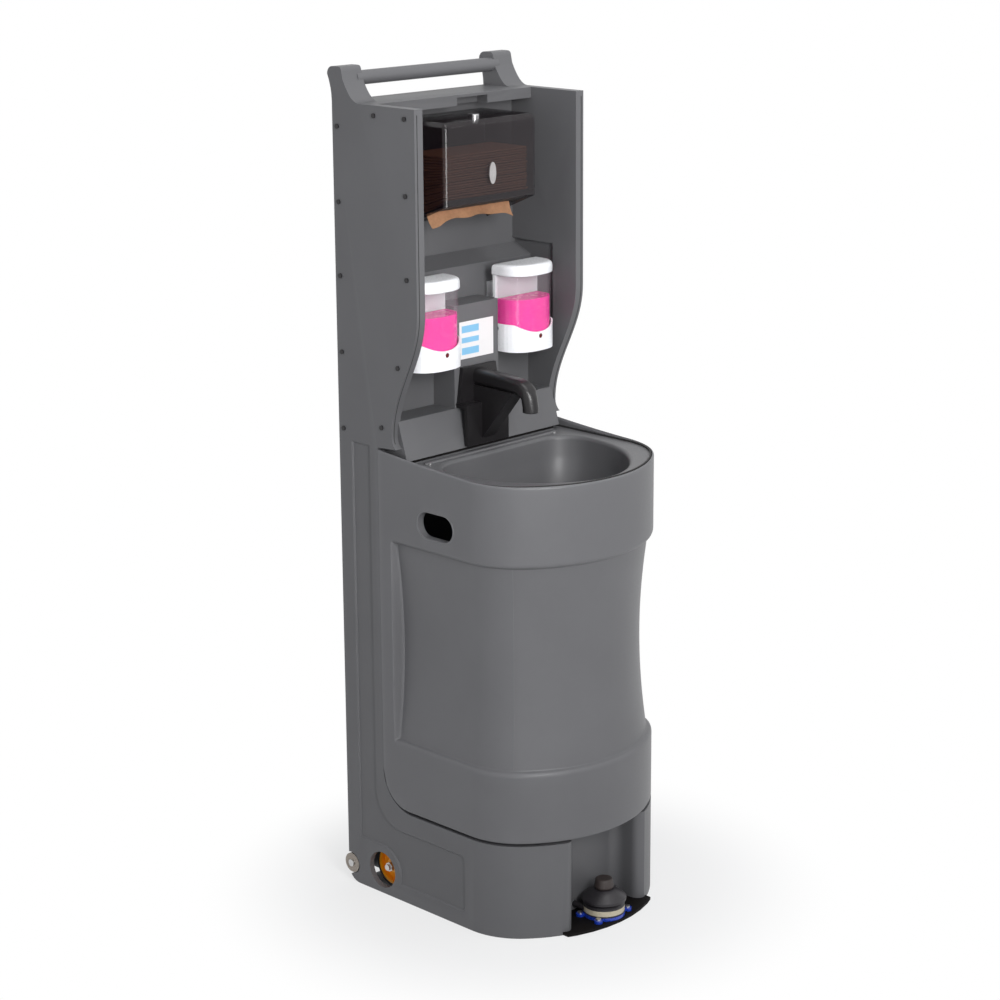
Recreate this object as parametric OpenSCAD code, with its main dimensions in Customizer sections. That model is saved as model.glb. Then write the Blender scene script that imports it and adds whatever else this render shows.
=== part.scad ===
// Free-standing hand-wash station: moulded housing, pull-off sink housing, foot pump, dispensers.
// Origin at the middle of the footprint on the floor. +Z is up and the front faces -Y.

/* [Housing] */
// Width over the side walls
body_w = 430; // [420:2:450]
// Depth from the rear face to the middle of the bowed front
body_d = 499; // [490:1:520]
// Depth of the column behind the sink housing
column_d = 103; // [98:1:108]
// Depth of the upper wings from the rear face
wing_d = 214; // [210:1:218]
// Height of the shelf that the sink housing stands on
base_h = 180; // [174:1:186]
// Height of the roof at its front edge
roof_z = 1498; // [1490:1:1540]
// Depth of the roof from the rear face
roof_d = 98; // [90:1:104]
// Height of the horns that hold the handle bar
horn_z = 1560; // [1555:1:1570]
// Width of each horn
horn_w = 48; // [42:1:56]
// Wall of the moulded housing
shell_t = 5; // [4.5:0.1:5.5]
// Radius of the plan's front corners
corner_r = 130; // [120:1:134]
// Distance from the bowed front back to the corner centres
corner_back = 163; // [160:1:170]
// Radius of the fillet between shelf and column
fillet_r = 76; // [68:1:80]
// Radius of the upright rear corners
rear_r = 8; // [6:0.5:8]
// Depth of the shallow side panels
panel_in = 2; // [1:0.25:3]
// Radius of the long edges of roof and wings
edge_r = 8; // [5:0.5:9]
// Lowest height of the wings
wing_low = 877; // [876:1:890]
// Height where the wing edges start to sweep back
wing_sweep_z = 1135; // [1110:5:1180]
// How far the wing edges sweep back
wing_sweep = 72; // [60:1:76]
// Height where the wing edges end their sweep
wing_end_z = 902; // [900:1:912]
// Radius that leads the wing edges forward again at their foot
foot_r = 24; // [18:1:25]
// Height of the fascia at the front of the roof
fascia_h = 20; // [16:1:24]

/* [Alcove] */
// Thickness of the wings at their front edges
wing_t = 20; // [18:0.5:22]
// Wall of the alcove moulding
liner_t = 4; // [3:0.25:5]
// Depth of the upper backsplash in front of the rear face
upper_wall_in = 47; // [44:1:55]
// Depth of the lower backsplash in front of the rear face
lower_wall_in = 88; // [84:1:92]
// Height of the step between the two backsplash walls
ledge_z = 1190; // [1185:1:1200]
// Gap between each dispenser and the console between them
console_gap = 5.5; // [4:0.5:7]
// How far the console stands out from the lower backsplash
console_out = 56; // [52:1:58]
// Height of the console's top
console_z = 1121; // [1110:1:1126]
// Height of the soap niches' floor
niche_z = 929; // [922:1:936]
// Height of the lower edge of the apron
apron_z = 858; // [856:1:862]
// Gap between the apron and the line of each side wall
apron_side = 15; // [13:1:25]
// How far the apron's lower edge stands in front of the column
apron_out = 63; // [58:1:66]
// Set-back of the apron's top edge
apron_lean = 22; // [14:1:26]
// Radius of the apron's upright corners
apron_r = 16; // [12:1:22]
// Depth of the pockets in the wings beside the dispensers
pocket_in = 8; // [5:0.5:9]

/* [Sink housing] */
// Height of the rim at its rear end
rim_z = 873; // [871:1:874]
// Fall of the rim from its rear end to the front
rim_fall = 20; // [16:1:20]
// Height of the lower band's top edge
band_low_z = 321; // [310:1:330]
// Height of the upper band's lower edge
band_up_z = 704; // [696:1:710]
// Inset of the waist where it meets the bands
waist_edge_in = 10; // [8:0.5:12]
// Inset of the waist at its narrowest
waist_mid_in = 23; // [18:1:26]
// Width of the flush strip behind the waist
rear_strip = 31; // [26:1:34]
// Wall of the sink housing
cover_t = 5; // [4:0.25:5]
// Gap between the shelf and the lower band
plinth_gap = 5; // [4:0.25:6]
// Length of each hand hold
hold_w = 90; // [80:1:100]
// Height of each hand hold
hold_h = 48; // [40:1:50]
// Height of the middle of the hand holds
hold_z = 755; // [745:1:765]
// Height of the basin deck's top
deck_z = 851; // [846:1:851]
// Thickness of deck and bowl
basin_t = 4; // [3:0.25:5]
// Set-back of the bowl's side edges from the side walls
bowl_side_in = 37; // [33:1:45]
// Set-back of the bowl's front edge from the bowed front
bowl_front_in = 24; // [20:1:28]
// Length of the bowl's opening from front to rear
bowl_l = 277; // [260:1:285]
// Depth of the bowl
bowl_depth = 152; // [130:1:156]
// Bore of the drain
drain_bore = 40; // [36:0.5:44]

/* [Water] */
// Drop from the bowl's floor to the top of the water containers
can_drop = 122.5; // [120:0.5:150]
// Gap between each water container and the waist
can_side = 29; // [26:1:34]
// Length of each water container
can_l = 200; // [180:2:206]
// Wall of the water containers
can_t = 3; // [2:0.25:4]
// Outer diameter of the hoses
hose_d = 12; // [10:0.5:12.5]

/* [Foot pump] */
// Width of the recess in the base
recess_w = 172; // [160:1:176]
// Depth of the recess behind the bowed front
recess_d = 80; // [79:1:90]
// Distance from the bowed front back to the pump's centre
pump_back = 30; // [29:0.5:33]
// Diameter of the pump's dome
dome_d = 84; // [80:0.5:86]
// Stroke of the dome
pump_stroke = 10; // [7:0.5:10]
// Width of the black base plate
plate_w = 228; // [210:2:240]
// How far the base plate stands out in front
plate_out = 12; // [8:0.5:14]
// Thickness of the base plate
plate_t = 6; // [5:0.5:7]

/* [Wheels] */
// Diameter of the transport wheels
wheel_d = 96; // [90:0.5:97]
// Width of the transport wheels
wheel_w = 30; // [24:1:32]
// Diameter of the round holes in the side walls
wheel_hole_d = 66; // [60:1:70]
// Diameter of the axle
axle_d = 12; // [10:0.5:12]
// Diameter of the rear rollers
roller_d = 38; // [34:0.5:40]
// How far the rollers stand out behind the rear face
roller_out = 12; // [8:0.5:14]
// Outer diameter of the handle bar
bar_d = 26; // [24:0.5:30]

/* [Towel dispenser] */
// Width of the cover
towel_w = 236; // [226:1:244]
// Height of the cover's front
towel_h = 149; // [142:1:152]
// Depth of the cover
towel_d = 134; // [128:1:136]
// Height of the cover's top
towel_z = 1463; // [1458:1:1466]
// Wall of the cover
towel_t = 3; // [2:0.25:3.5]

/* [Soap dispensers] */
// Width of each dispenser
soap_w = 118; // [112:1:120]
// Depth of each dispenser
soap_d = 70; // [66:1:74]
// Height of each dispenser
soap_h = 164; // [156:1:166]
// Height of the underside of the dispensers
soap_z = 1019; // [1014:1:1024]
// Gap between each dispenser and the wing beside it
soap_side_gap = 14.5; // [12:0.5:16]
// Wall of the dispensers
soap_t = 2.5; // [2:0.1:3]

/* [Spout] */
// Width of the spout bracket's foot
spout_w = 108; // [96:1:110]
// Height of the spout arm's top
spout_z = 997; // [990:1:1000]
// Reach of the outlet in front of the console
spout_reach = 140; // [120:1:146]
// Diameter of the outlet
outlet_d = 30; // [26:0.5:32]
// Length of the outlet below the arm
outlet_h = 35; // [28:1:40]

/* [Hidden] */
$fn = 48;

// Colours
grey = [0.30, 0.31, 0.32];
black = [0.05, 0.05, 0.055];
orange = [0.93, 0.55, 0.05];
steel = [0.75, 0.76, 0.78];
white = [0.93, 0.94, 0.95];
pink = [0.98, 0.27, 0.55];
smoke = [0.10, 0.07, 0.07];

// Shared clearances and overruns
over = 2;
fit = 0.3;
run = 0.05;
side_gap = 0.5;

// Main places, front to rear and side to side
half_w = body_w / 2;
back_y = (body_d + plate_out + roller_out) / 2 - roller_out;
front_y = back_y - body_d;
col_y = back_y - column_d;
wing_y = back_y - wing_d;
upper_y = back_y - upper_wall_in;
lower_y = back_y - lower_wall_in;
console_y = lower_y - console_out;
fascia_z = roof_z - fascia_h;
roof_y = back_y - roof_d;
roof_low = roof_z - shell_t;
skin_x = half_w - shell_t;
liner_x = half_w - wing_t;
soap_x = liner_x - soap_side_gap - soap_w / 2;
console_w = 2 * (soap_x - soap_w / 2 - console_gap);

// Plan outline: straight sides, round corners and a bowed front, all parallel when inset
bow_r = (pow(half_w - corner_r, 2) + pow(corner_back, 2) - pow(corner_r,
    2)) / (2 * (corner_back - corner_r));
join_a = atan2(half_w - corner_r, bow_r - corner_back);
corner_n = 8;
bow_n = 12;
function around(c, r, a) = [c[0] - r * sin(a), c[1] - r * cos(a)];
function corner_c(s) = [s * (half_w - corner_r), front_y + corner_back];
function front_path(i) = concat(
    [for (k = [0:corner_n]) around(corner_c(-1), corner_r - i, 90 - (90 - join_a) * k / corner_n)],
    [for (k = [1:bow_n - 1]) around([0, front_y + bow_r], bow_r - i, join_a - 2 * join_a * k / bow_n)],
    [for (k = [0:corner_n]) around(corner_c(1), corner_r - i, -join_a - (90 - join_a) * k / corner_n)]);
function plan(i, rear) = concat([[-half_w + i, rear]], front_path(i), [[half_w - i, rear]]);
function arc(c, r, a0, a1, n) = [for (k = [0:n]) [c[0] + r * cos(a0 + (a1 - a0) * k / n),
    c[1] + r * sin(a0 + (a1 - a0) * k / n)]];

// Side outline of the housing, as points of depth and height
sweep_n = 14;
foot_y = wing_y + wing_sweep - foot_r;
function wing_edge(g) = concat([for (k = [0:sweep_n])
    [wing_y + g + wing_sweep * (1 - cos(180 * k / sweep_n)) / 2,
        wing_sweep_z - (wing_sweep_z - wing_end_z) * k / sweep_n]],
    arc([foot_y + g, wing_low + foot_r], foot_r, 0, -90, 6));
function fillet_path(i) = arc([col_y - fillet_r, base_h + fillet_r], fillet_r + i, -90, 0, 10);
function upside(list) = [for (k = [len(list) - 1:-1:0]) list[k]];
side_outline = concat([[front_y - over, 0], [front_y - over, base_h]], fillet_path(0),
    [[col_y, wing_low]], upside(wing_edge(0)),
    [[wing_y, roof_z], [back_y, roof_z], [back_y, rear_r], [back_y - rear_r, 0]]);

// Extrudes an outline of depth and height across the width
module across(w, pts, x = 0) {
    translate([x, 0, 0]) rotate([90, 0, 90]) linear_extrude(height = w, center = true) polygon(pts);
}
// Extrudes a plan outline from one height to another
module slab(pts, z0, z1) {
    translate([0, 0, z0]) linear_extrude(height = z1 - z0) polygon(pts);
}
// A box between two corners
module block(a, b) {
    translate(a) cube(b - a);
}
// A rod along X
module rod_x(x0, x1, y, z, d) {
    translate([x0, y, z]) rotate([0, 90, 0]) cylinder(h = x1 - x0, d = d);
}
// A rod along Y
module rod_y(y0, y1, x, z, d) {
    translate([x, y1, z]) rotate([90, 0, 0]) cylinder(h = y1 - y0, d = d);
}
// An upright rod
module rod_z(z0, z1, x, y, d) {
    translate([x, y, z0]) cylinder(h = z1 - z0, d = d);
}
module both_sides() {
    children();
    mirror([1, 0, 0]) children();
}

// Smooth route through hand-picked points
route_n = 6;
function spline(p, k, t) = 0.5 * (2 * p[k] + (p[k + 1] - p[k - 1]) * t
    + (2 * p[k - 1] - 5 * p[k] + 4 * p[k + 1] - p[k + 2]) * t * t
    + (3 * p[k] - p[k - 1] - 3 * p[k + 1] + p[k + 2]) * t * t * t);
function route(p) = let (q = concat([2 * p[0] - p[1]], p, [2 * p[len(p) - 1] - p[len(p) - 2]]))
    concat([for (k = [1:len(p) - 1]) for (j = [0:route_n - 1]) spline(q, k, j / route_n)],
        [p[len(p) - 1]]);
function unit(v) = v / norm(v);
function heading(p, k) = k == 0 ? unit(p[1] - p[0])
    : k == len(p) - 1 ? unit(p[k] - p[k - 1]) : unit(p[k + 1] - p[k - 1]);
function turned(n, t) = unit(n - (n * t) * t);
function normals(p, n0, k = 0, out = []) = k == len(p) ? out
    : normals(p, n0, k + 1, concat(out, [turned(k == 0 ? n0 : out[k - 1], heading(p, k))]));
function hoop(c, n, t, r, sides) = let (b = cross(t, n))
    [for (s = [0:sides - 1]) c + r * (cos(360 * s / sides) * n + sin(360 * s / sides) * b)];

// A tube swept along a route, with a bore where r_in is more than zero
module tube(p, r, r_in, n0, sides) {
    m = len(p);
    ns = normals(p, n0);
    outer = [for (k = [0:m - 1]) each hoop(p[k], ns[k], heading(p, k), r, sides)];
    inner = r_in > 0 ? [for (k = [0:m - 1]) each hoop(p[k], ns[k], heading(p, k), r_in, sides)] : [];
    off = m * sides;
    wall = [for (k = [0:m - 2]) for (s = [0:sides - 1]) let (a = k * sides + s,
        b = k * sides + (s + 1) % sides) each [[a, a + sides, b + sides], [a, b + sides, b]]];
    bore = [for (k = [0:m - 2]) for (s = [0:sides - 1]) let (a = off + k * sides + s,
        b = off + k * sides + (s + 1) % sides) each [[a, b + sides, a + sides], [a, b, b + sides]]];
    last = (m - 1) * sides;
    ends = [for (s = [0:sides - 1]) let (u = (s + 1) % sides)
        each [[s, u, off + u], [s, off + u, off + s],
            [last + s, off + last + s, off + last + u], [last + s, off + last + u, last + u]]];
    caps = [[for (s = [0:sides - 1]) s], [for (s = [sides - 1:-1:0]) last + s]];
    if (r_in > 0) polyhedron(concat(outer, inner), concat(wall, bore, ends), convexity = 8);
    else polyhedron(outer, concat(wall, caps), convexity = 8);
}

// Places on the side walls that carry the wing screws
screw_front_shares = [[0.117, 1], [0.486, 1], [0.117, 0.776], [0.117, 0.529], [0.243, 0.259],
    [0.458, 0.065]];
screw_margin = 18;
function front_screw(s) = [wing_y + wing_d * s[0],
    wing_low + (roof_z - screw_margin - wing_low) * s[1]];
front_screws = [for (s = screw_front_shares) front_screw(s)];
rear_screw_y = back_y - rear_r - shell_t;
rear_screw_shares = [0.035, 0.266, 0.493, 0.71, 0.929];
rear_screw_span = roof_z - wing_low;
rear_screws = [for (s = rear_screw_shares) [rear_screw_y, wing_low + rear_screw_span * s]];
screw_d = 4;
screw_head_d = 9;
screw_head_h = 2;
screw_fit = 0.2;
boss_d = 12;

// Wheels
wheel_in = 98;
wheel_y = back_y - wheel_in;
wheel_z = 49;
wheel_gap = 1.5;
collar_in = 22;
wheel_x1 = half_w - collar_in - wheel_gap;
wheel_x0 = wheel_x1 - wheel_w;
rib_t = 6;
rib_x1 = wheel_x0 - wheel_gap;
nut_w = 19;
nut_h = 9;
roller_y = back_y + roller_out - roller_d / 2;
roller_z = 35;
roller_w = 14;
roller_in = 1.5;
roller_x1 = half_w - roller_in;
roller_x0 = roller_x1 - roller_w;
roller_room = 5;
bolt_d = 8;
pocket_x = roller_x0 - wheel_gap;
pocket_y = roller_y - roller_d / 2 - roller_room;
pocket_top = roller_z + roller_d / 2 + roller_room;
pocket_low = roller_z - roller_d / 2 - roller_room;
panel_low = pocket_top + shell_t + roller_room;

// Shallow side panel round the wheel hole and up the column
panel_rear_in = 36;
panel_rear = back_y - panel_rear_in;
panel_edge = 4;
panel_drop = 2;
panel_top = wing_low - panel_drop;
panel_base_drop = 32;
panel_base_top = base_h - panel_base_drop;
panel_front_in = 183;
panel_front = front_y + panel_front_in;
panel_bend = 48;
wheel_boss_r = 54;
boss_low_a = 190;
panel_outline = concat(
    [[panel_rear, panel_top], [panel_rear, wheel_z + wheel_boss_r]],
    arc([wheel_y, wheel_z], wheel_boss_r, 90, boss_low_a, 8),
    [[panel_front, wheel_z + wheel_boss_r * sin(boss_low_a)], [panel_front, panel_base_top]],
    arc([col_y + panel_edge - panel_bend, panel_base_top + panel_bend], panel_bend, -90, 0, 6),
    [[col_y + panel_edge, panel_top]]);

// Foot pump
pump_y = front_y + pump_back;
recess_y = front_y + recess_d;
flange_t = 6;
ring_in = 3;
ring_r = dome_d / 2 - ring_in;
ring_z0 = plate_t + flange_t;
ring_h = 19;
ring_bevel = 4;
ring_floor = 3;
ring_wall = 10;
hose_up = 1;
hose_z = ring_z0 + hose_d / 2 + hose_up;
dome_z0 = hose_z + hose_d / 2 + pump_stroke + hose_up;
dome_skirt = 5;
dome_rise = 16;
dome_t = 2.6;
knob_d = 37;
knob_h = 20;
knob_taper = 2;
stem_d = 12;
dome_top_z = dome_z0 + dome_skirt + dome_rise;
lug_r = 46;
lug_d = 16;
flange_rim = 2;
pump_screw_d = 5;

// Hoses
hose_room = 1.5;
hose_hole = hose_d + hose_room;
feed_x = -28;
suction_x = 28;
suction_up_x = 84;
suction_in = 8;
suction_down_y = col_y - fillet_r - suction_in;
feed_in = 60;
feed_up_y = back_y - feed_in;
feed_up = 18;
feed_out_z = niche_z + feed_up;
hose_sides = 8;

// Lower face of the housing where the pump's plate sits
plate_side = 0.4;

module wheel_collar() {
    difference() {
        rod_x(half_w - collar_in, skin_x + shell_t / 2, wheel_y, wheel_z, wheel_hole_d + 2 * shell_t);
        rod_x(half_w - collar_in - over, half_w + over, wheel_y, wheel_z, wheel_hole_d);
    }
}
// Upright plate that carries the axle, cut to the housing's outside
module axle_rib() {
    difference() {
        intersection() {
            across(rib_t, side_outline, rib_x1 - rib_t / 2);
            block([rib_x1 - rib_t, wheel_y - wheel_d * 0.6, axle_d], [rib_x1,
                back_y - 2 * shell_t, base_h + fillet_r]);
        }
        rod_x(rib_x1 - rib_t - over, rib_x1 + over, wheel_y, wheel_z, axle_d + 2 * run);
    }
}
module roller_pocket_wall() {
    block([pocket_x - shell_t, pocket_y - shell_t, pocket_low - shell_t],
        [half_w - shell_t / 2, back_y, pocket_top + shell_t]);
}
module roller_pocket() {
    block([pocket_x, pocket_y, pocket_low], [half_w + over, back_y + over, pocket_top]);
}
horn_x = half_w - horn_w;
horn_in = 70;
horn_y = back_y - horn_in;
horn_sweep = 40;
horn_r = 14;
bar_in = 19;
bar_drop = 23;
bar_y = back_y - bar_in;
bar_z = horn_z - bar_drop;
socket_in = 12;
horn_back = 11;
horn_top_r = 8;
horn_lip = 3;
horn_outline = concat(
    [for (t = [0:0.125:1]) [horn_y + horn_sweep * t, roof_z + horn_sweep * t * t]],
    arc([horn_y + horn_sweep + horn_top_r + horn_lip, horn_z - horn_top_r], horn_top_r, 180, 90, 4),
    arc([back_y + horn_back - horn_r, horn_z - horn_r], horn_r, 90, 0, 6),
    [for (t = [0.25:0.25:1]) [back_y + horn_back * pow(1 - t, 2),
        horn_z - horn_r - (horn_z - roof_z) * t]],
    [[back_y, roof_z - shell_t / 2], [horn_y, roof_z - shell_t / 2]]);
module horn() {
    difference() {
        across(horn_w, horn_outline, half_w - horn_w / 2);
        rod_x(horn_x - over, horn_x + socket_in + fit, bar_y, bar_z, bar_d + 2 * run);
    }
}
function rear_plan(i, g) = concat(front_path(i),
    arc([half_w - rear_r, back_y + g - rear_r], rear_r - i, 0, 90, 4),
    arc([-half_w + rear_r, back_y + g - rear_r], rear_r - i, 90, 180, 4));

// Cross-section of the housing with its rounded long top edges
crown = concat([[-half_w, -over], [half_w, -over]], arc([half_w - edge_r, roof_z - edge_r],
    edge_r, 0, 90, 5),
    arc([-half_w + edge_r, roof_z - edge_r], edge_r, 90, 180, 5));
notch_x0 = 2;
notch_x1 = 80;
notch_d = 27;
module housing() color(grey) difference() {
    union() {
        difference() {
            intersection() {
                slab(rear_plan(0, 0), 0, roof_z + over);
                across(body_w + over, side_outline);
                translate([0, back_y + over, 0]) rotate([90, 0,
                    0]) linear_extrude(height = body_d + 2 * over) polygon(crown);
            }
            // base and column hollow
            intersection() {
                slab(plan(shell_t, back_y - shell_t), -over, apron_z);
                across(2 * skin_x, concat([[front_y - over, -over], [front_y - over, base_h - shell_t]],
                    fillet_path(shell_t), [[col_y + shell_t, apron_z], [back_y - shell_t, apron_z],
                    [back_y - shell_t, -over]]));
            }
            // hollow between the wings
            block([-skin_x, foot_y - over, apron_z - fit], [skin_x, back_y - shell_t, wing_end_z]);
            block([-skin_x, wing_y - over, wing_end_z - fit], [skin_x, back_y - shell_t, roof_low]);
            // open top in front of the roof
            block([-liner_x, wing_y - over, roof_low - over], [liner_x, roof_y, roof_z + over]);
            // rear opening for the rear panel
            block([-skin_x, back_y - 2 * shell_t, panel_low], [skin_x, back_y + over,
                roof_z - 3 * shell_t]);
        }
        // fascia under the roof's front edge
        difference() {
            block([-liner_x + fit, roof_y, fascia_z], [liner_x - fit, roof_y + shell_t,
                roof_z - shell_t / 2]);
            block([notch_x0, roof_y - over, fascia_z - over], [notch_x1, roof_y + 2 * shell_t,
                roof_low]);
        }
        // walls of the pump recess
        intersection() {
            block([-recess_w / 2 - shell_t, front_y - over, 0], [recess_w / 2 + shell_t,
                recess_y + shell_t, base_h]);
            slab(plan(0, back_y), 0, base_h);
        }
        both_sides() {
            wheel_collar();
            axle_rib();
            roller_pocket_wall();
            horn();
        }
    }
    // pump recess
    block([-recess_w / 2, front_y - over, -over], [recess_w / 2, recess_y, base_h + over]);
    // room for the base plate
    block([-plate_w / 2 - plate_side, front_y - over, -over],
        [plate_w / 2 + plate_side, recess_y + shell_t + over, plate_t + plate_side]);
    both_sides() {
        rod_x(skin_x - over, half_w + over, wheel_y, wheel_z, wheel_hole_d);
        roller_pocket();
        rod_x(pocket_x - shell_t - over, pocket_x + over, roller_y, roller_z, bolt_d + 2 * run);
        across(2 * panel_in, panel_outline, half_w);
        for (s = concat(front_screws, rear_screws))
            rod_x(skin_x - over, half_w + over, s[0], s[1], screw_d + screw_fit);
    }
    // hose passages
    rod_y(recess_y - over, recess_y + shell_t + over, feed_x, hose_z, hose_hole);
    rod_y(recess_y - over, recess_y + shell_t + over, suction_x, hose_z, hose_hole);
    rod_z(base_h - 2 * shell_t, base_h + 2 * shell_t, suction_up_x, suction_down_y, hose_hole);
}

// Alcove moulding
liner_top = roof_low - fit;
step_half = 10;
step_hi = ledge_z + step_half;
step_lo = ledge_z - step_half;
module liner_wall() {
    across(2 * liner_x + liner_t, [[upper_y, fascia_z], [upper_y, step_hi], [lower_y, step_lo],
        [lower_y, niche_z - liner_t], [lower_y + liner_t, niche_z - liner_t],
        [lower_y + liner_t, step_lo - liner_t], [upper_y + liner_t, step_hi - liner_t],
        [upper_y + liner_t, fascia_z]]);
}
function cheek_outline(g, top) = concat([[wing_y + g, top]], wing_edge(g),
    [[lower_y + liner_t, wing_low], [lower_y + liner_t, ledge_z], [upper_y + liner_t,
        ledge_z + liner_t],
        [upper_y + liner_t, top]]);
pocket_front = 60;
pocket_under = 4;
pocket_over = 18;
pocket_y0 = wing_y + pocket_front;
pocket_z0 = soap_z - pocket_under;
pocket_z1 = ledge_z + pocket_over;
function pocket_outline(g) = [[pocket_y0 - g, pocket_z0 - g], [pocket_y0 - g, pocket_z1 + g],
    [upper_y + g, pocket_z1 + g], [upper_y + g, step_hi - g], [lower_y + g, step_lo - g],
    [lower_y + g, pocket_z0 - g]];
module cheek() {
    difference() {
        union() {
            across(liner_t, cheek_outline(0, liner_top), liner_x + liner_t / 2);
            // lip that closes the wing's front edge
            difference() {
                across(skin_x - fit - liner_x, cheek_outline(0, liner_top),
                    (liner_x + skin_x - fit) / 2);
                across(skin_x - fit, cheek_outline(liner_t, liner_top + over), (liner_x + skin_x) / 2);
                block([0, lip_y1, wing_low - over], [half_w, back_y, roof_z]);
            }
            across(pocket_in + liner_t, pocket_outline(liner_t), liner_x + (pocket_in + liner_t) / 2);
            for (s = front_screws) rod_x(liner_x + liner_t / 2, skin_x - fit, s[0], s[1], boss_d);
        }
        across(pocket_in + over, pocket_outline(0), liner_x + (pocket_in - over) / 2);
        for (s = front_screws) rod_x(liner_x + liner_t, skin_x + over, s[0], s[1], screw_d + screw_fit);
    }
}
lip_y1 = wing_y + wing_sweep + liner_t + fit;
// Rounded block with an upright rear and a leaning front
slice = 1;
module lean_block(w, y0, lean, y1, z0, z1, r) {
    hull() {
        for (s = [-1, 1]) {
            translate([s * (w / 2 - r), y0 + r, z0]) cylinder(h = slice, r = r, $fn = 32);
            translate([s * (w / 2 - r), y0 + lean + r, z1 - slice]) cylinder(h = slice, r = r,
                $fn = 32);
        }
        block([-w / 2, y1 - slice, z0], [w / 2, y1, z1]);
    }
}
apron_y = col_y - apron_out;
apron_w = body_w - 2 * apron_side;
apron_rear = col_y - side_gap;
ceiling_y = roof_y + shell_t + fit;
module notch_box(g) {
    block([notch_x0 - g, ceiling_y - (g > 0 ? 0 : over), fascia_z - (g > 0 ? 0 : over)],
        [notch_x1 + g, roof_y + notch_d + g, roof_low - liner_t - fit + g]);
}
module alcove_liner() color(grey) difference() {
    union() {
        liner_wall();
        both_sides() cheek();
        // ceiling under the roof, with the box behind the fascia's notch
        difference() {
            union() {
                block([-liner_x - liner_t / 2, ceiling_y, fascia_z], [liner_x + liner_t / 2,
                    upper_y + liner_t, fascia_z + liner_t]);
                notch_box(liner_t);
            }
            notch_box(0);
        }
        // floor of the niches
        block([-liner_x - liner_t / 2, apron_rear - liner_t, niche_z - liner_t],
            [liner_x + liner_t / 2, lower_y + liner_t, niche_z]);
        difference() {
            block([-console_w / 2, console_y, niche_z - liner_t], [console_w / 2,
                lower_y + liner_t / 2, console_z]);
            block([-console_w / 2 + liner_t, console_y + liner_t, niche_z],
                [console_w / 2 - liner_t, lower_y + liner_t, console_z - liner_t]);
        }
        difference() {
            lean_block(apron_w, apron_y, apron_lean, apron_rear, apron_z, niche_z, apron_r);
            lean_block(apron_w - 2 * liner_t, apron_y + liner_t, apron_lean, col_y + over,
                apron_z - over, niche_z - liner_t, apron_r - liner_t);
        }
    }
    rod_y(console_y - over, console_y + 2 * liner_t, 0, feed_out_z, hose_hole);
    rod_y(lower_y - over, lower_y + 2 * liner_t, 0, feed_out_z, hose_hole);
}

rear_t = 4;
rear_flange = 16;
module rear_panel() color(grey) difference() {
    union() {
        block([-skin_x + fit, back_y - rear_t - fit, panel_low + fit], [skin_x - fit,
            back_y - fit, roof_z - 3 * shell_t - fit]);
        both_sides() block([skin_x - fit - rear_t, back_y - rear_flange - fit, panel_low + fit],
            [skin_x - fit, back_y - fit, roof_z - 3 * shell_t - fit]);
        // stiffening ribs inside
        for (x = [-1, 0, 1]) block([x * half_w / 2 - rear_t / 2, back_y - rear_flange - fit,
            panel_low + 2 * rear_flange],
            [x * half_w / 2 + rear_t / 2, back_y - rear_t, roof_z - 3 * rear_flange]);
    }
    both_sides() for (s = rear_screws)
        rod_x(skin_x - 2 * rear_t, skin_x + over, s[0], s[1], screw_d + screw_fit);
}

bar_t = 3;
module handle_bar() color(grey) difference() {
    rod_x(-horn_x - socket_in, horn_x + socket_in, bar_y, bar_z, bar_d);
    rod_x(-horn_x - socket_in - over, horn_x + socket_in + over, bar_y, bar_z, bar_d - 2 * bar_t);
}

module side_screws() color(black) both_sides() {
    for (s = front_screws) wing_screw(s);
    for (s = rear_screws) wing_screw(s);
}
screw_len = 12;
module wing_screw(s) {
    rod_x(half_w, half_w + screw_head_h, s[0], s[1], screw_head_d);
    rod_x(half_w - screw_len, half_w, s[0], s[1], screw_d);
}

label_side = 13;
label_w = console_w - 2 * label_side;
label_h = 70;
label_t = 0.8;
label_drop = 102;
label_low = console_z - label_drop;
module label_plate() color(white)
    block([-label_w / 2, console_y - label_t, label_low], [label_w / 2, console_y,
        label_low + label_h]);

// Foot pump, from the floor up
module base_plate() color(black) intersection() {
    slab(plan(-plate_out, back_y), 0, plate_t);
    block([-plate_w / 2, front_y - 2 * plate_out, 0], [plate_w / 2, recess_y + shell_t, plate_t]);
}
lug_places = [for (a = [30, 150, 210, 330]) [lug_r * cos(a), pump_y + lug_r * sin(a)]];
module pump_bracket() color([0.05, 0.15, 0.75]) difference() {
    union() {
        rod_z(plate_t, plate_t + flange_t, 0, pump_y, 2 * ring_r + flange_rim);
        for (p = lug_places) rod_z(plate_t, plate_t + flange_t, p[0], p[1], lug_d);
    }
    for (p = lug_places) rod_z(plate_t - over, plate_t + flange_t + over, p[0], p[1],
        pump_screw_d + screw_fit);
}
module pump_ring() color([0.86, 0.82, 0.70]) difference() {
    union() {
        translate([0, pump_y, 0]) rotate_extrude($fn = 64) polygon([[0, ring_z0], [ring_r, ring_z0],
            [ring_r, ring_z0 + ring_h - ring_bevel], [ring_r - ring_bevel, ring_z0 + ring_h],
            [0, ring_z0 + ring_h]]);
        rod_y(pump_y, recess_y - fit, feed_x, hose_z, hose_d);
        rod_y(pump_y, recess_y - fit, suction_x, hose_z, hose_d);
    }
    rod_z(ring_z0 + ring_floor, ring_z0 + ring_h + over, 0, pump_y, 2 * (ring_r - ring_wall));
    rod_y(pump_y, recess_y, feed_x, hose_z, hose_d / 2);
    rod_y(pump_y, recess_y, suction_x, hose_z, hose_d / 2);
}
dome_r = dome_d / 2;
dome_n = 10;
dome_flat_share = 0.46;
dome_bend = 65;
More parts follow.
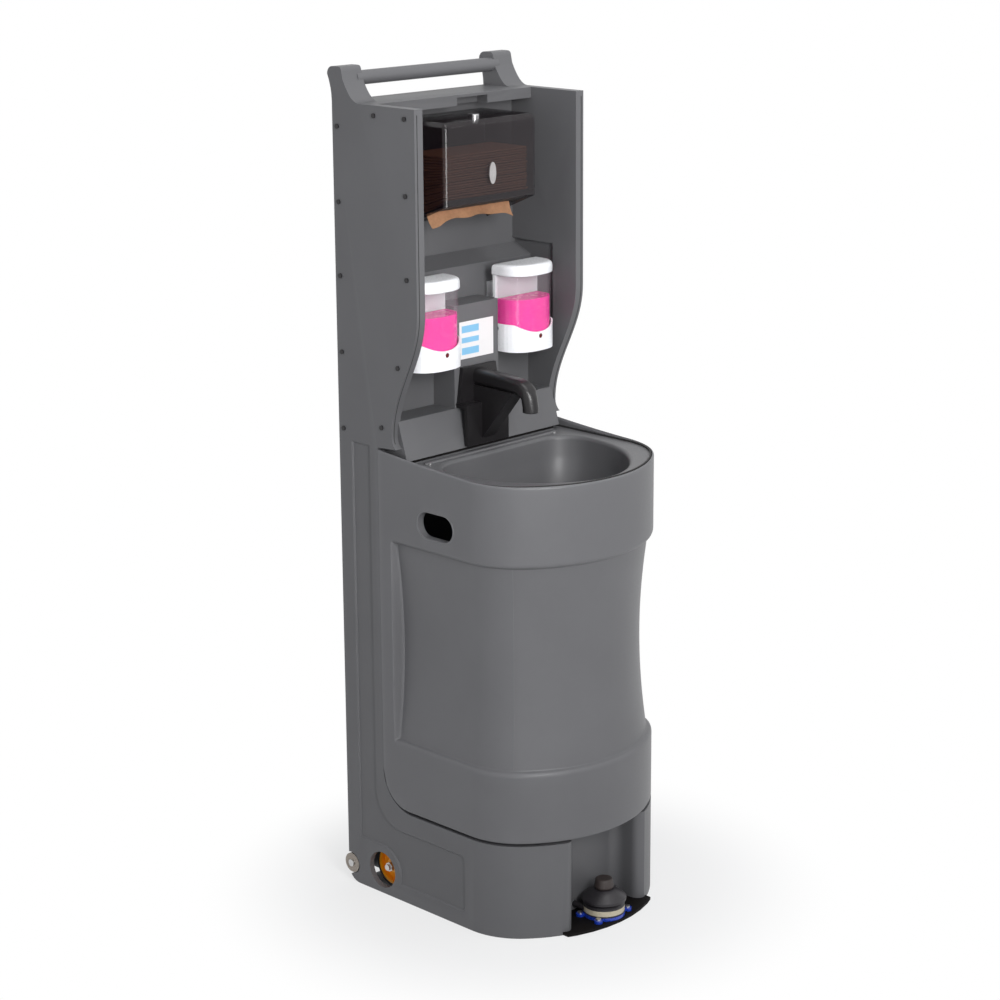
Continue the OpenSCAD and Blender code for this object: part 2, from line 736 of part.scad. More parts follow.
function dome_curve(r, z) = [for (k = [0:dome_n]) let (u = k / dome_n)
    [r * (1 - (1 - dome_flat_share) * u), z + dome_rise * sin(dome_bend * u) / sin(dome_bend)]];
module pump_dome() color(black) translate([0, pump_y, 0]) difference() {
    rotate_extrude($fn = 64) polygon(concat([[dome_r - dome_t, dome_z0], [dome_r, dome_z0]],
        dome_curve(dome_r, dome_z0 + dome_skirt), [[0, dome_top_z], [0, dome_top_z - dome_t]],
        upside(dome_curve(dome_r - dome_t, dome_z0 + dome_skirt - dome_t))));
    rod_z(dome_z0, dome_top_z + over, 0, 0, stem_d);
}
knob_round = 4;
module pump_knob() color([0.16, 0.15, 0.15]) translate([0, pump_y, 0]) {
    rotate_extrude($fn = 48) polygon(concat([[0, dome_top_z]], [[knob_d / 2 - knob_taper, dome_top_z]],
        [[knob_d / 2, dome_top_z + 2 * knob_taper]],
        arc([knob_d / 2 - knob_taper - knob_round, dome_top_z + knob_h - knob_round], knob_round,
            0, 90, 4),
        [[0, dome_top_z + knob_h]]));
    rod_z(dome_top_z - 3 * dome_t, dome_top_z, 0, 0, stem_d - 2 * run);
}
spring_turns = 6;
spring_r = 20;
spring_wire = 2.4;
spring_z0 = ring_z0 + ring_floor + spring_wire / 2 + fit / 2;
spring_z1 = dome_top_z - dome_t - spring_wire / 2 - fit;
spring_rings = 8;
spring_taper = 6;
spring_path = [for (k = [0:spring_turns * spring_rings]) let (u = k / (spring_turns * spring_rings))
    [(spring_r - spring_taper * u) * cos(360 * k / spring_rings),
        (spring_r - spring_taper * u) * sin(360 * k / spring_rings),
            spring_z0 + (spring_z1 - spring_z0) * u]];
module pump_spring() color(steel) translate([0, pump_y, 0]) tube(spring_path, spring_wire / 2, 0,
    [1, 0, 0], 6);
module pump_screws() color(steel) for (p = lug_places) {
    rod_z(plate_t + flange_t, plate_t + flange_t + pump_screw_d * 0.6, p[0], p[1], 2 * pump_screw_d);
    rod_z(plate_t, plate_t + flange_t, p[0], p[1], pump_screw_d);
}

// Wheels and rollers
axle_in = 9;
axle_x = half_w - axle_in;
module axle() color(steel) rod_x(-axle_x, axle_x, wheel_y, wheel_z, axle_d);
module axle_nuts() color(steel) both_sides() difference() {
    translate([wheel_x1 + fit, wheel_y, wheel_z]) rotate([0, 90, 0]) cylinder(h = nut_h,
        d = nut_w, $fn = 6);
    rod_x(wheel_x1 - over, wheel_x1 + nut_h + over, wheel_y, wheel_z, axle_d + 2 * run);
}
hub_r = 38;
tyre_r = wheel_d / 2;
hub_web = 8;
hub_boss_r = 14;
hub_rim = 5;
hub_in = 1;
module hub(x0) color(orange) translate([x0, wheel_y, wheel_z]) rotate([0, 90,
    0]) rotate_extrude($fn = 64) polygon([
    [axle_d / 2 + run, 0], [hub_boss_r, 0], [hub_boss_r, (wheel_w - hub_web) / 2],
    [hub_r - hub_rim, (wheel_w - hub_web) / 2], [hub_r - hub_rim, hub_in], [hub_r, hub_in],
    [hub_r, wheel_w - hub_in], [hub_r - hub_rim, wheel_w - hub_in], [hub_r - hub_rim,
        (wheel_w + hub_web) / 2],
    [hub_boss_r, (wheel_w + hub_web) / 2], [hub_boss_r, wheel_w], [axle_d / 2 + run, wheel_w]]);
tyre_round = 7;
module tyre(x0) color(black) translate([x0, wheel_y, wheel_z]) rotate([0, 90,
    0]) rotate_extrude($fn = 72)
    polygon(concat([[hub_r + run, hub_in]], [[tyre_r - tyre_round, hub_in]],
        arc([tyre_r - tyre_round, hub_in + tyre_round], tyre_round, -90, 0, 5),
        arc([tyre_r - tyre_round, wheel_w - hub_in - tyre_round], tyre_round, 0, 90, 5),
        [[hub_r + run, wheel_w - hub_in]]));
module hub_left() hub(-wheel_x1);
module hub_right() hub(wheel_x0);
module tyre_left() tyre(-wheel_x1);
module tyre_right() tyre(wheel_x0);
module roller(x0) color([0.80, 0.76, 0.70]) difference() {
    rod_x(x0, x0 + roller_w, roller_y, roller_z, roller_d);
    rod_x(x0 - over, x0 + roller_w + over, roller_y, roller_z, bolt_d + 2 * run);
}
module roller_left() roller(-roller_x1);
module roller_right() roller(roller_x0);
bolt_head_d = 14;
bolt_head_h = 3;
module roller_bolts() color(steel) both_sides() {
    rod_x(roller_x1 + fit, roller_x1 + fit + bolt_head_h, roller_y, roller_z, bolt_head_d);
    rod_x(pocket_x - shell_t, roller_x1 + fit, roller_y, roller_z, bolt_d);
}

// Sink housing
cover_rear = col_y - side_gap;
cover_low = base_h + plinth_gap;
waist_rear = cover_rear - rear_strip;
ledge_t = 4;
deck_edge = fit;
waist_n = 10;
function open_path(i, rear) = plan(i, rear);
function band(i0, i1, rear) = concat(open_path(i0, rear), upside(open_path(i1, rear)));
function rim_at(y) = rim_z - rim_fall + rim_fall * pow(max(0,
    (y - front_y) / (cover_rear - front_y)), 2);
rim_n = 12;
rim_path = [for (k = [0:rim_n]) let (y = front_y - over + (cover_rear
    + 2 * over - front_y) * k / rim_n) [y, rim_at(y)]];
function waist_in(u) = waist_mid_in - (waist_mid_in - waist_edge_in) * pow(2 * u - 1, 2);
// Thin wall that runs round the front, drawn in towards its middle height
module waist() {
    o = [for (k = [0:waist_n]) [for (p = open_path(waist_in(k / waist_n), waist_rear)) [p[0],
        p[1], waist_z(k / waist_n)]]];
    i = [for (k = [0:waist_n]) [for (p = open_path(waist_in(k / waist_n) + cover_t,
        waist_rear)) [p[0], p[1], waist_z(k / waist_n)]]];
    m = len(o[0]);
    off = m * (waist_n + 1);
    pts = concat([for (r = o) each r], [for (r = i) each r]);
    walls = [for (k = [0:waist_n - 1]) for (s = [0:m - 2]) let (a = k * m + s)
        each [[a, a + m, a + m + 1], [a, a + m + 1, a + 1],
            [off + a, off + a + m + 1, off + a + m], [off + a, off + a + 1, off + a + m + 1]]];
    top = waist_n * m;
    caps = [for (s = [0:m - 2]) each [[s, s + 1, off + s + 1], [s, off + s + 1, off + s],
        [top + s, off + top + s + 1, top + s + 1], [top + s, off + top + s, off + top + s + 1]]];
    ends = [for (k = [0:waist_n - 1]) let (a = k * m, b = k * m + m - 1)
        each [[a, off + a, off + a + m], [a, off + a + m, a + m],
            [b, off + b + m, off + b], [b, b + m, off + b + m]]];
    polyhedron(pts, concat(walls, caps, ends), convexity = 10);
}
function waist_z(u) = band_low_z + (band_up_z - band_low_z) * u;
module hand_hold(w, h) {
    y = front_y + body_d / 2 - hold_forward;
    r = h / 2;
    both_sides() {
        rod_x(skin_x - 2 * cover_t, half_w + over, y - w / 2 + r, hold_z, h);
        rod_x(skin_x - 2 * cover_t, half_w + over, y + w / 2 - r, hold_z, h);
        block([skin_x - 2 * cover_t, y - w / 2 + r, hold_z - r], [half_w + over, y + w / 2 - r,
            hold_z + r]);
    }
}
corner_gap = 4;
hold_forward = 3;
waist_lap = 1;
cover_corner_r = fillet_r - corner_gap;
shelf_lip = 12;
lip_in = 14;
lip_rear = col_y - fillet_r - corner_gap;
deck_rest = 10;
module cabinet_shell() color([0.34, 0.35, 0.36]) difference() {
    union() {
        // lower band
        difference() {
            slab(band(0, cover_t, cover_rear), cover_low, band_low_z);
            across(body_w + over, concat([[cover_rear + over, cover_low - over],
                [cover_rear + over, cover_low + cover_corner_r]],
                arc([cover_rear - cover_corner_r, cover_low + cover_corner_r], cover_corner_r, 0,
                    -90, 10),
                [[cover_rear - cover_corner_r, cover_low - over]]));
        }
        slab(band(0, waist_edge_in + cover_t + waist_lap, waist_rear + ledge_t),
            band_low_z - ledge_t, band_low_z);
        slab(band(0, waist_edge_in + cover_t + waist_lap, waist_rear + ledge_t), band_up_z,
            band_up_z + ledge_t);
        // foot lip that stands on the shelf
        slab(band(cover_t / 2, lip_in + shelf_lip, lip_rear), cover_low, cover_low + ledge_t);
        slab(band(lip_in, lip_in + shelf_lip, lip_rear), base_h + fit, cover_low + ledge_t);
        waist();
        both_sides() {
            block([skin_x, waist_rear, band_low_z - ledge_t], [half_w, cover_rear,
                band_up_z + ledge_t]);
            block([half_w - waist_mid_in - cover_t - waist_lap, waist_rear,
                band_low_z - ledge_t], [half_w, waist_rear + ledge_t, band_up_z + ledge_t]);
        }
        // upper band with the sloping rim and the ledge under the deck
        difference() {
            slab(band(0, cover_t, cover_rear), band_up_z, rim_z + over);
            across(body_w + over, concat(rim_path, [[cover_rear + 2 * over, rim_z + 2 * over],
                [front_y - over, rim_z + 2 * over]]));
        }
        slab(band(cover_t / 2, cover_t + deck_rest, cover_rear), deck_z - basin_t - ledge_t,
            deck_z - basin_t);
    }
    hand_hold(hold_w, hold_h);
}

// Basin: one outline that shrinks towards the drain
bowl_y1 = front_y + bowl_front_in + bowl_l;
bowl_y = bowl_y1 - bowl_l / 2;
bowl_r = 62;
bowl_w = body_w - 2 * bowl_side_in;
bowl_low_share = 0.28;
bowl_n = 9;
corner_back_y = front_y + corner_back;
bowl_outline = concat(
    arc([-bowl_w / 2 + bowl_r, bowl_y1 - bowl_r], bowl_r, 90, 180, 6),
    [for (p = front_path(0)) [p[0] * bowl_w / body_w, bowl_y1 - bowl_r
        - (corner_back_y - p[1]) * (bowl_l - bowl_r) / corner_back]],
    arc([bowl_w / 2 - bowl_r, bowl_y1 - bowl_r], bowl_r, 0, 90, 6));
function bowl_k(a) = bowl_low_share + (1 - bowl_low_share) * cos(a);
function bowl_ring(k, z) = [for (p = bowl_outline) [p[0] * k, bowl_y + (p[1] - bowl_y) * k, z]];
bowl_wall_share = 1 + 2 * basin_t / bowl_l;
module bowl() {
    inner = [for (j = [0:bowl_n]) let (a = 90 * j / bowl_n) bowl_ring(bowl_k(a),
        deck_z - bowl_depth * sin(a))];
    outer = [for (j = [0:bowl_n]) let (a = 90 * j / bowl_n)
        bowl_ring(bowl_k(a) * bowl_wall_share, deck_z - (bowl_depth + basin_t) * sin(a))];
    m = len(bowl_outline);
    off = m * (bowl_n + 1);
    low = bowl_n * m;
    walls = [for (j = [0:bowl_n - 1]) for (s = [0:m - 1]) let (a = j * m + s, b = j * m + (s + 1) % m)
        each [[a, a + m, b + m], [a, b + m, b], [off + a, off + b + m, off + a + m], [off + a,
            off + b, off + b + m]]];
    lip = [for (s = [0:m - 1]) let (u = (s + 1) % m) each [[s, u, off + u], [s, off + u, off + s]]];
    floors = [[for (s = [0:m - 1]) low + s], [for (s = [m - 1:-1:0]) off + low + s]];
    polyhedron([for (r = concat(inner, outer)) each r], concat(walls, lip, floors), convexity = 8);
}
deck_screw_shares = [[-0.73, 0.62], [-0.76, 0.12], [0.76, 0.12], [0.73, 0.62]];
deck_screw_span = cover_rear - bowl_y1;
deck_screws_at = [for (s = deck_screw_shares) [s[0] * half_w, bowl_y1 + deck_screw_span * s[1]]];
deck_screw_d = 4;
module basin() color([0.36, 0.37, 0.38]) difference() {
    union() {
        difference() {
            slab(plan(cover_t + deck_edge, cover_rear - cover_t), deck_z - basin_t, deck_z);
            slab([for (p = bowl_ring((1 + bowl_wall_share) / 2, 0)) [p[0], p[1]]],
                deck_z - 2 * basin_t, deck_z + over);
        }
        bowl();
    }
    rod_z(deck_z - bowl_depth - 2 * basin_t, deck_z, 0, bowl_y, drain_bore);
    for (p = deck_screws_at) rod_z(deck_z - 2 * basin_t, deck_z + over, p[0], p[1],
        deck_screw_d + screw_fit);
}
module deck_screws() color(steel) for (p = deck_screws_at) {
    rod_z(deck_z, deck_z + deck_screw_d / 2, p[0], p[1], 2 * deck_screw_d);
    rod_z(deck_z - 2 * basin_t, deck_z, p[0], p[1], deck_screw_d);
}
bowl_floor = deck_z - bowl_depth;
flange_rim_w = 11;
flange_d = drain_bore + 2 * flange_rim_w;
flange_rise = 2.5;
thread_l = 32;
tail_z = bowl_floor - thread_l;
drain_wall = 3;
strainer_bar = 3;
module drain_flange() color(steel) {
    difference() {
        union() {
            rod_z(bowl_floor, bowl_floor + flange_rise, 0, bowl_y, flange_d);
            rod_z(tail_z, bowl_floor, 0, bowl_y, drain_bore - 2 * run);
        }
        rod_z(tail_z - over, bowl_floor + 2 * flange_rise, 0, bowl_y, drain_bore - 2 * drain_wall);
    }
    for (a = [0, 60, 120]) translate([0, bowl_y, bowl_floor - drain_wall]) rotate([0, 0, a])
        block([-drain_bore / 2 + drain_wall / 2, -strainer_bar / 2, 0],
            [drain_bore / 2 - drain_wall / 2, strainer_bar / 2, drain_wall]);
    difference() {
        rod_z(bowl_floor - basin_t - drain_wall - 3 * drain_wall,
            bowl_floor - basin_t - drain_wall, 0, bowl_y, flange_d);
        rod_z(tail_z, bowl_floor, 0, bowl_y, drain_bore - 2 * drain_wall);
    }
}
can_gap = 16;
can_w = half_w - waist_mid_in - cover_t - can_side - can_gap / 2;
can_x = can_gap / 2 + can_w / 2;
can_back = 37;
can_y = bowl_y + can_back;
can_top = bowl_floor - can_drop;
can_h = can_top - base_h - fit;
neck_d = 60;
neck_h = 22;
tail_d = 34;
tail_drop = 5;
tail_low = can_top + neck_h + tail_drop;
tail_shares = [[0, 0], [0, 0.063], [0.145, 0.283], [0.482, 0.424], [0.759, 0.534], [0.976,
    0.722], [1, 1]];
tail_route = [for (t = tail_shares) [-can_x * t[0], bowl_y, tail_z - (tail_z - tail_low) * t[1]]];
module drain_tail() color(black) tube(route(tail_route), tail_d / 2, tail_d / 2 - drain_wall, [0,
    1, 0], 12);

seal_h = 4;
seal_t = 3;
module splash_seal() color(black)
    block([-apron_w / 2 + apron_r, apron_y + fit, apron_z - seal_h], [apron_w / 2 - apron_r,
        apron_y + seal_t, apron_z]);

// Water containers
can_r = 24;
module can_body(w, l, z0, z1, r) {
    hull() for (x = [-1, 1]) for (y = [-1, 1]) translate([x * (w / 2 - r), y * (l / 2 - r), z0])
        cylinder(h = z1 - z0, r = r, $fn = 32);
}
module can(x) translate([x, can_y, 0]) difference() {
    union() {
        can_body(can_w, can_l, base_h + fit, can_top, can_r);
        rod_z(can_top, can_top + neck_h, 0, bowl_y - can_y, neck_d);
    }
    can_body(can_w - 2 * can_t, can_l - 2 * can_t, base_h + fit + can_t, can_top - can_t,
        can_r - can_t);
    rod_z(can_top - 2 * can_t, can_top + neck_h + over, 0, bowl_y - can_y, neck_d - 2 * can_t);
}
cap_t = 3;
cap_d = neck_d + 2 * cap_t + 2 * fit;
module fresh_tank() color([0.85, 0.88, 0.90]) can(can_x);
module fresh_cap() color([0.10, 0.25, 0.70]) translate([can_x, bowl_y, 0]) difference() {
    rod_z(can_top + cap_t, can_top + neck_h + cap_t + fit, 0, 0, cap_d);
    rod_z(can_top, can_top + neck_h + fit, 0, 0, neck_d + 2 * fit);
    rod_z(can_top, can_top + neck_h + 2 * cap_t, 0, 0, hose_d + fit);
}
module waste_tank() color([0.45, 0.47, 0.50]) can(-can_x);
collar_room = 5;
collar_r = tail_d / 2 + collar_room;
module waste_collar() color(black) translate([-can_x, bowl_y, 0]) difference() {
    union() {
        rod_z(can_top + neck_h, can_top + neck_h + cap_t, 0, 0, cap_d);
        rod_z(can_top + cap_t, can_top + neck_h, 0, 0, neck_d - 2 * can_t - 2 * fit);
    }
    rod_z(can_top, can_top + neck_h + 2 * cap_t, 0, 0, 2 * collar_r);
}
dip_low = base_h + 3 * can_t + hose_d;
suction_route = [[can_x, bowl_y, dip_low], [can_x, bowl_y, can_top - can_h / 2], [can_x, bowl_y,
    can_top + neck_h + 4],
    [can_x + 1, bowl_y + 14, can_top + neck_h + 22], [suction_up_x, bowl_y + 60, can_top + neck_h + 27],
    [suction_up_x, suction_down_y - 16, can_top + neck_h + 20], [suction_up_x, suction_down_y, can_top],
    [suction_up_x, suction_down_y, can_top - can_h / 2], [suction_up_x, suction_down_y, base_h + 12],
    [suction_up_x, suction_down_y, base_h - 20], [suction_up_x - 6, suction_down_y - 30, base_h - 80],
    [suction_x + 20, bowl_y + 40, hose_z + 30], [suction_x, recess_y + 50, hose_z], [suction_x,
        recess_y + 20, hose_z],
    [suction_x, recess_y, hose_z]];
module suction_hose() color([0.80, 0.83, 0.86]) tube(route(suction_route), hose_d / 2,
    hose_d / 4, [1, 0, 0], hose_sides);
feed_route = [[feed_x, recess_y, hose_z], [feed_x, recess_y + 25, hose_z], [feed_x,
    wheel_y - 110, hose_z - 2],
    [feed_x, wheel_y - 30, hose_z - 4], [feed_x + 6, feed_up_y - 12, hose_z + 2], [feed_x + 14,
        feed_up_y + 8, hose_z + 40],
    [-8, feed_up_y + 10, base_h], [-4, feed_up_y + 10, base_h + fillet_r + 200], [0,
        feed_up_y + 10, apron_z - 120],
    [0, feed_up_y + 8, feed_out_z - 40], [0, feed_up_y - 2, feed_out_z - 9], [0, lower_y + 13,
        feed_out_z],
    [0, lower_y - 6, feed_out_z],
    [0, console_y + 10, feed_out_z], [0, console_y + fit, feed_out_z]];
module feed_hose() color([0.80, 0.83, 0.86]) tube(route(feed_route), hose_d / 2, hose_d / 4, [1,
    0, 0], hose_sides);

// Spout
bracket_t = 8;
bracket_lift = 2;
bracket_up = 3;
bracket_low = apron_z + bracket_up;
bracket_top_share = 0.8;
gusset_w = 34;
arm_h = 27;
arm_w = 32;
arm_dip = 2;
arm_fall = 6;
bracket_rear = apron_y - fit;
gusset_up = 6;
gusset_low = bracket_low + gusset_up;
spout_y = console_y - spout_reach;
arm_low = spout_z - arm_h;
foot_z = niche_z + bracket_lift;
plate_top = spout_z + bracket_t;
module spout_bracket() color(black) {
    // back plate that tapers upwards in front of the console
    rotate([90, 0, 0]) translate([0, 0, -console_y + fit]) linear_extrude(height = bracket_t) polygon([
        [-spout_w / 2, foot_z], [spout_w / 2, foot_z],
        [spout_w / 2 * bracket_top_share, plate_top], [-spout_w / 2 * bracket_top_share, plate_top]]);
    block([-spout_w / 2, bracket_rear - bracket_t, bracket_low], [spout_w / 2, bracket_rear,
        foot_z + bracket_t]);
    block([-spout_w / 2, bracket_rear - bracket_t, foot_z], [spout_w / 2, console_y - fit,
        foot_z + bracket_t]);
    // gusset under the arm
    across(gusset_w, [[bracket_rear - bracket_t / 2, gusset_low], [bracket_rear - bracket_t / 2,
        niche_z + bracket_t],
        [console_y - bracket_t, niche_z + bracket_t], [console_y - bracket_t, arm_low - fit],
        [spout_y + outlet_d, arm_low - arm_dip - fit]]);
}
arm_r = 9;
outlet_wall = 4;
module spout_arm() color(black) difference() {
    union() {
        hull() for (x = [-1, 1]) {
            for (z = [arm_low + arm_r, spout_z - arm_r])
                translate([x * (arm_w / 2 - arm_r), console_y - bracket_t - fit, z]) rotate([90, 0, 0])
                    cylinder(h = slice, r = arm_r, $fn = 24);
            for (z = [arm_low + arm_r - arm_dip, spout_z - arm_r - arm_fall])
                translate([x * (arm_w / 2 - arm_r - arm_dip), spout_y, z]) sphere(r = arm_r, $fn = 24);
        }
        rod_z(arm_low - outlet_h, arm_low + arm_h / 2, 0, spout_y, outlet_d);
    }
    rod_z(arm_low - outlet_h - over, arm_low + arm_r, 0, spout_y, outlet_d - 2 * outlet_wall);
    rod_y(spout_y, console_y, 0, arm_low + arm_h / 2, hose_d);
}
module spout_outlet() color([0.25, 0.25, 0.26]) difference() {
    rod_z(arm_low - outlet_h, arm_low - outlet_h + outlet_d / 2, 0, spout_y,
        outlet_d - 2 * outlet_wall - 2 * run);
    rod_z(arm_low - outlet_h - over, arm_low, 0, spout_y, hose_d);
}

// Towel dispenser
towel_gap = 8;
towel_y1 = upper_y - towel_gap;
towel_y0 = towel_y1 - towel_d;
towel_low = towel_z - towel_h;
towel_slope = 55;
cover_edge = 4;
cover_tail = 6;
cover_foot = 2;
hinge_up = 12;
hinge_y = towel_y1 - cover_edge;
hinge_z = towel_low - towel_slope + hinge_up;
pin_d = 5;
pin_in = 5;
pin_fit = 0.2;
tray_gap = 1;
cover_outline = [[towel_y0 + cover_edge, towel_z], [towel_y1, towel_z],
    [towel_y1, towel_low - towel_slope + cover_tail], [towel_y1 - cover_edge, towel_low - towel_slope],
    [towel_y0 + cover_foot, towel_low], [towel_y0, towel_low + cover_edge], [towel_y0,
        towel_z - cover_edge]];
module towel_cover() color(smoke, 0.8) difference() {
    across(towel_w, cover_outline);
    across(towel_w - 2 * towel_t, [[towel_y0 + towel_t, towel_z - towel_t], [towel_y1 + over,
        towel_z - towel_t],
        [towel_y1 + over, towel_low - towel_slope - over],
        [towel_y1 - cover_edge, towel_low - towel_slope - over],
        [towel_y0 + towel_t, towel_low - over]]);
    rod_x(-towel_w / 2 - over, towel_w / 2 + over, hinge_y, hinge_z, pin_d + 2 * run);
    translate([0, lock_y, 0]) rod_z(towel_z - 2 * towel_t, towel_z + over, 0, 0, lock_d + 2 * run);
}
inner_w = towel_w - 2 * towel_t - 2 * tray_gap;
stack_gap = 7;
stack_w = inner_w - 2 * stack_gap;
sheet_w = stack_w - 2 * tray_gap;
slot_w = sheet_w + 8 * tray_gap;
slot_l = 34;
tray_t = 3;
tray_up = 3;
tray_fall = towel_slope - cover_tail;
tray_lip = 2;
ear_w = 6;
ear_h = 7;
function tray_z(y) = towel_low + tray_up - tray_fall * (y - towel_y0) / towel_d;
tray_y0 = towel_y0 + towel_t + tray_lip;
tray_y1 = towel_y1 + tray_lip;
module towel_back() color([0.10, 0.10, 0.11]) difference() {
    union() {
        block([-inner_w / 2, towel_y1 + 1, tray_z(towel_y1)], [inner_w / 2, upper_y - fit,
            towel_z - 2 * towel_t]);
        across(inner_w, [[tray_y0, tray_z(tray_y0)], [tray_y0, tray_z(tray_y0) + tray_t],
            [tray_y1, tray_z(tray_y1) + tray_t], [tray_y1, tray_z(tray_y1)]]);
        across(inner_w, [[tray_y0, tray_z(tray_y0)], [tray_y0, tray_z(tray_y0) + 3 * tray_t],
            [tray_y0 + tray_lip, tray_z(tray_y0) + 3 * tray_t], [tray_y0 + tray_lip, tray_z(tray_y0)]]);
        // ears that hold the hinge pins
        both_sides() block([inner_w / 2 - ear_w, hinge_y - ear_h, tray_z(hinge_y)],
            [inner_w / 2, tray_y1, hinge_z + ear_h]);
    }
    block([-slot_w / 2, towel_y0 + towel_d / 2 - slot_l / 2, towel_low - towel_slope - over],
        [slot_w / 2, towel_y0 + towel_d / 2 + slot_l / 2, towel_low + over]);
    rod_x(-towel_w / 2, towel_w / 2, hinge_y, hinge_z, pin_d + 2 * run);
}
module towel_pins() color(steel) both_sides() rod_x(inner_w / 2 - pin_in, towel_w / 2 - pin_fit,
    hinge_y, hinge_z, pin_d);
lock_d = 16;
lock_in = 46;
lock_y = towel_y0 + lock_in;
lock_rim = 3;
lock_neck = 0.5;
key_w = 1.6;
key_t = 2;
lock_h = 5;
module towel_lock() color(steel) translate([0, lock_y, 0]) difference() {
    union() {
        rod_z(towel_z - 4 * towel_t, towel_z, 0, 0, lock_d);
        rod_z(towel_z + fit, towel_z + lock_h, 0, 0, lock_d + 2 * lock_rim);
        rod_z(towel_z - towel_t, towel_z + lock_h, 0, 0, lock_d - 2 * lock_neck);
    }
    block([-lock_d / 3, -key_w / 2, towel_z + lock_h - key_t], [lock_d / 3, key_w / 2,
        towel_z + lock_h + over]);
}
badge_w = 17;
badge_h = 40;
badge_t = 2;
badge_share = 0.66;
badge_z = towel_z - towel_h * badge_share;
module towel_badge() color(steel) translate([0, towel_y0, badge_z]) rotate([90, 0,
    0]) linear_extrude(height = badge_t)
    polygon([for (a = [0:12:348]) [badge_w / 2 * cos(a), badge_h / 2 * sin(a)]]);
stack_l = 100;
stack_in = 14;
stack_drop = 60;
stack_y0 = towel_y0 + stack_in;
stack_top = towel_z - stack_drop;
module towel_stack() color([0.55, 0.36, 0.22]) across(stack_w, [[stack_y0,
    tray_z(stack_y0) + tray_t + fit],
    [stack_y0, stack_top], [stack_y0 + stack_l, stack_top], [stack_y0 + stack_l,
        tray_z(stack_y0 + stack_l) + tray_t + fit]]);

// Towel that hangs out of the slot, its free edge drooping towards both ends
sheet_t = 1.2;
sheet_n = 24;
sheet_in = 4;
sheet_y = towel_y0 + towel_d / 2 - sheet_in;
sheet_top = tray_z(sheet_y) + tray_t - fit;
droop_mid = 22;
droop_end = 12;
droop_wave = 2.5;
fold_out = 6;
fold_wave = 3;
function droop(u) = droop_mid + droop_end * pow(abs(2 * u - 1), 3) + droop_wave * sin(1080 * u);
function fold(u) = fold_out + fold_wave * sin(720 * u + 40);
module hanging_towel() color([0.80, 0.56, 0.33]) {
    rows = [for (k = [0:sheet_n]) let (u = k / sheet_n, x = sheet_w * (u - 0.5), d = droop(u),
        f = fold(u))
        [[x, sheet_y, sheet_top], [x, sheet_y - f * 0.5, sheet_top - d * 0.5],
            [x, sheet_y - f - fold_out, sheet_top - d], [x, sheet_y - f - fold_out + sheet_t,
                sheet_top - d], [x, sheet_y - f * 0.5 + sheet_t, sheet_top - d * 0.5],
            [x, sheet_y + sheet_t, sheet_top]]];
    m = 6;
    skin = [for (k = [0:sheet_n - 1]) for (s = [0:m - 1]) let (a = k * m + s, b = k * m + (s + 1) % m)
        each [[a, b, b + m], [a, b + m, a + m]]];
    last = sheet_n * m;
    ends = [[0, 5, 4], [0, 4, 1], [1, 4, 3], [1, 3, 2],
        [last, last + 4, last + 5], [last, last + 1, last + 4], [last + 1, last + 3, last + 4],
            [last + 1, last + 2, last + 3]];
    polyhedron([for (r = rows) each r], concat(skin, ends), convexity = 6);
}

// Soap dispensers, drawn at the middle and moved to each side
soap_mount = 35;
soap_y1 = lower_y - soap_mount;
soap_y0 = soap_y1 - soap_d;
soap_side = 20;
soap_n = 20;
function soap_plan(i) = let (q = soap_d - soap_side)
    concat([[soap_w / 2 - i, soap_y1 - i]], [[-soap_w / 2 + i, soap_y1 - i]],
        [for (k = [0:soap_n]) let (a = 180 * k / soap_n)
            [-(soap_w / 2 - i) * sgn_pow(cos(a), 0.8),
                soap_y1 - soap_side - (q - i) * pow(sin(a), 0.8)]]);
function sgn_pow(v, e) = sign(v) * pow(abs(v), e);
lid_h = 21;
lid_z = soap_z + soap_h - lid_h;
soap_body_h = 52;
soap_split = soap_z + soap_body_h;
soap_scoop = 16;
scoop_share = 0.62;
scoop_up = soap_w * scoop_share;
soap_floor = 30;
mount_w = 76;
soap_back_t = 7;
module soap_base() difference() {
    union() {
        slab(soap_plan(0), soap_z, soap_split);
        block([-soap_w / 2 + soap_t, soap_y1 - soap_back_t, soap_split - over],
            [soap_w / 2 - soap_t, soap_y1, lid_z - fit]);
        block([-mount_w / 2, soap_y1 - over, soap_z + 2 * soap_side], [mount_w / 2,
            lower_y - fit, lid_z - soap_side]);
    }
    // well for the tank
    intersection() {
        slab(soap_plan(soap_t), soap_z + soap_floor, soap_split + over);
        block([-soap_w, soap_y0, soap_z], [soap_w, soap_y1 - soap_back_t, lid_z]);
    }
    // scooped front edge
    translate([0, soap_y0 - over, soap_split + scoop_up]) rotate([-90, 0, 0])
        cylinder(h = soap_d - soap_side, r = scoop_up + soap_scoop, $fn = 96);
    // hollow for battery and pump
    block([-soap_w / 3, soap_y0 + soap_d / 3, soap_z + soap_t], [soap_w / 3,
        soap_y1 - soap_back_t, soap_z + soap_floor - soap_t]);
    rod_z(soap_z - over, soap_z + 2 * soap_t, 0, nozzle_y, nozzle_d + 2 * run);
    for (s = [-1, 1]) rod_x(s * soap_w / 2 - 2 * catch_in - over, s * soap_w / 2 + 2 * catch_in
        + over, catch_y, catch_z, catch_d + 2 * fit);
    translate([0, 0, soap_z + window_up]) rod_y(soap_y0 - over, soap_y0 + soap_t, 0, 0,
        window_d + 2 * run);
}
nozzle_share = 0.47;
nozzle_y = soap_y1 - soap_d * nozzle_share;
nozzle_d = 8;
nozzle_h = 8;
window_d = 9;
window_up = 28;
window_inset = 0.4;
catch_d = 8;
catch_in = 4;
catch_travel = 1.2;
catch_rest = 0.4;
catch_out = catch_travel + catch_rest;
catch_back = 3;
catch_drop = 9;
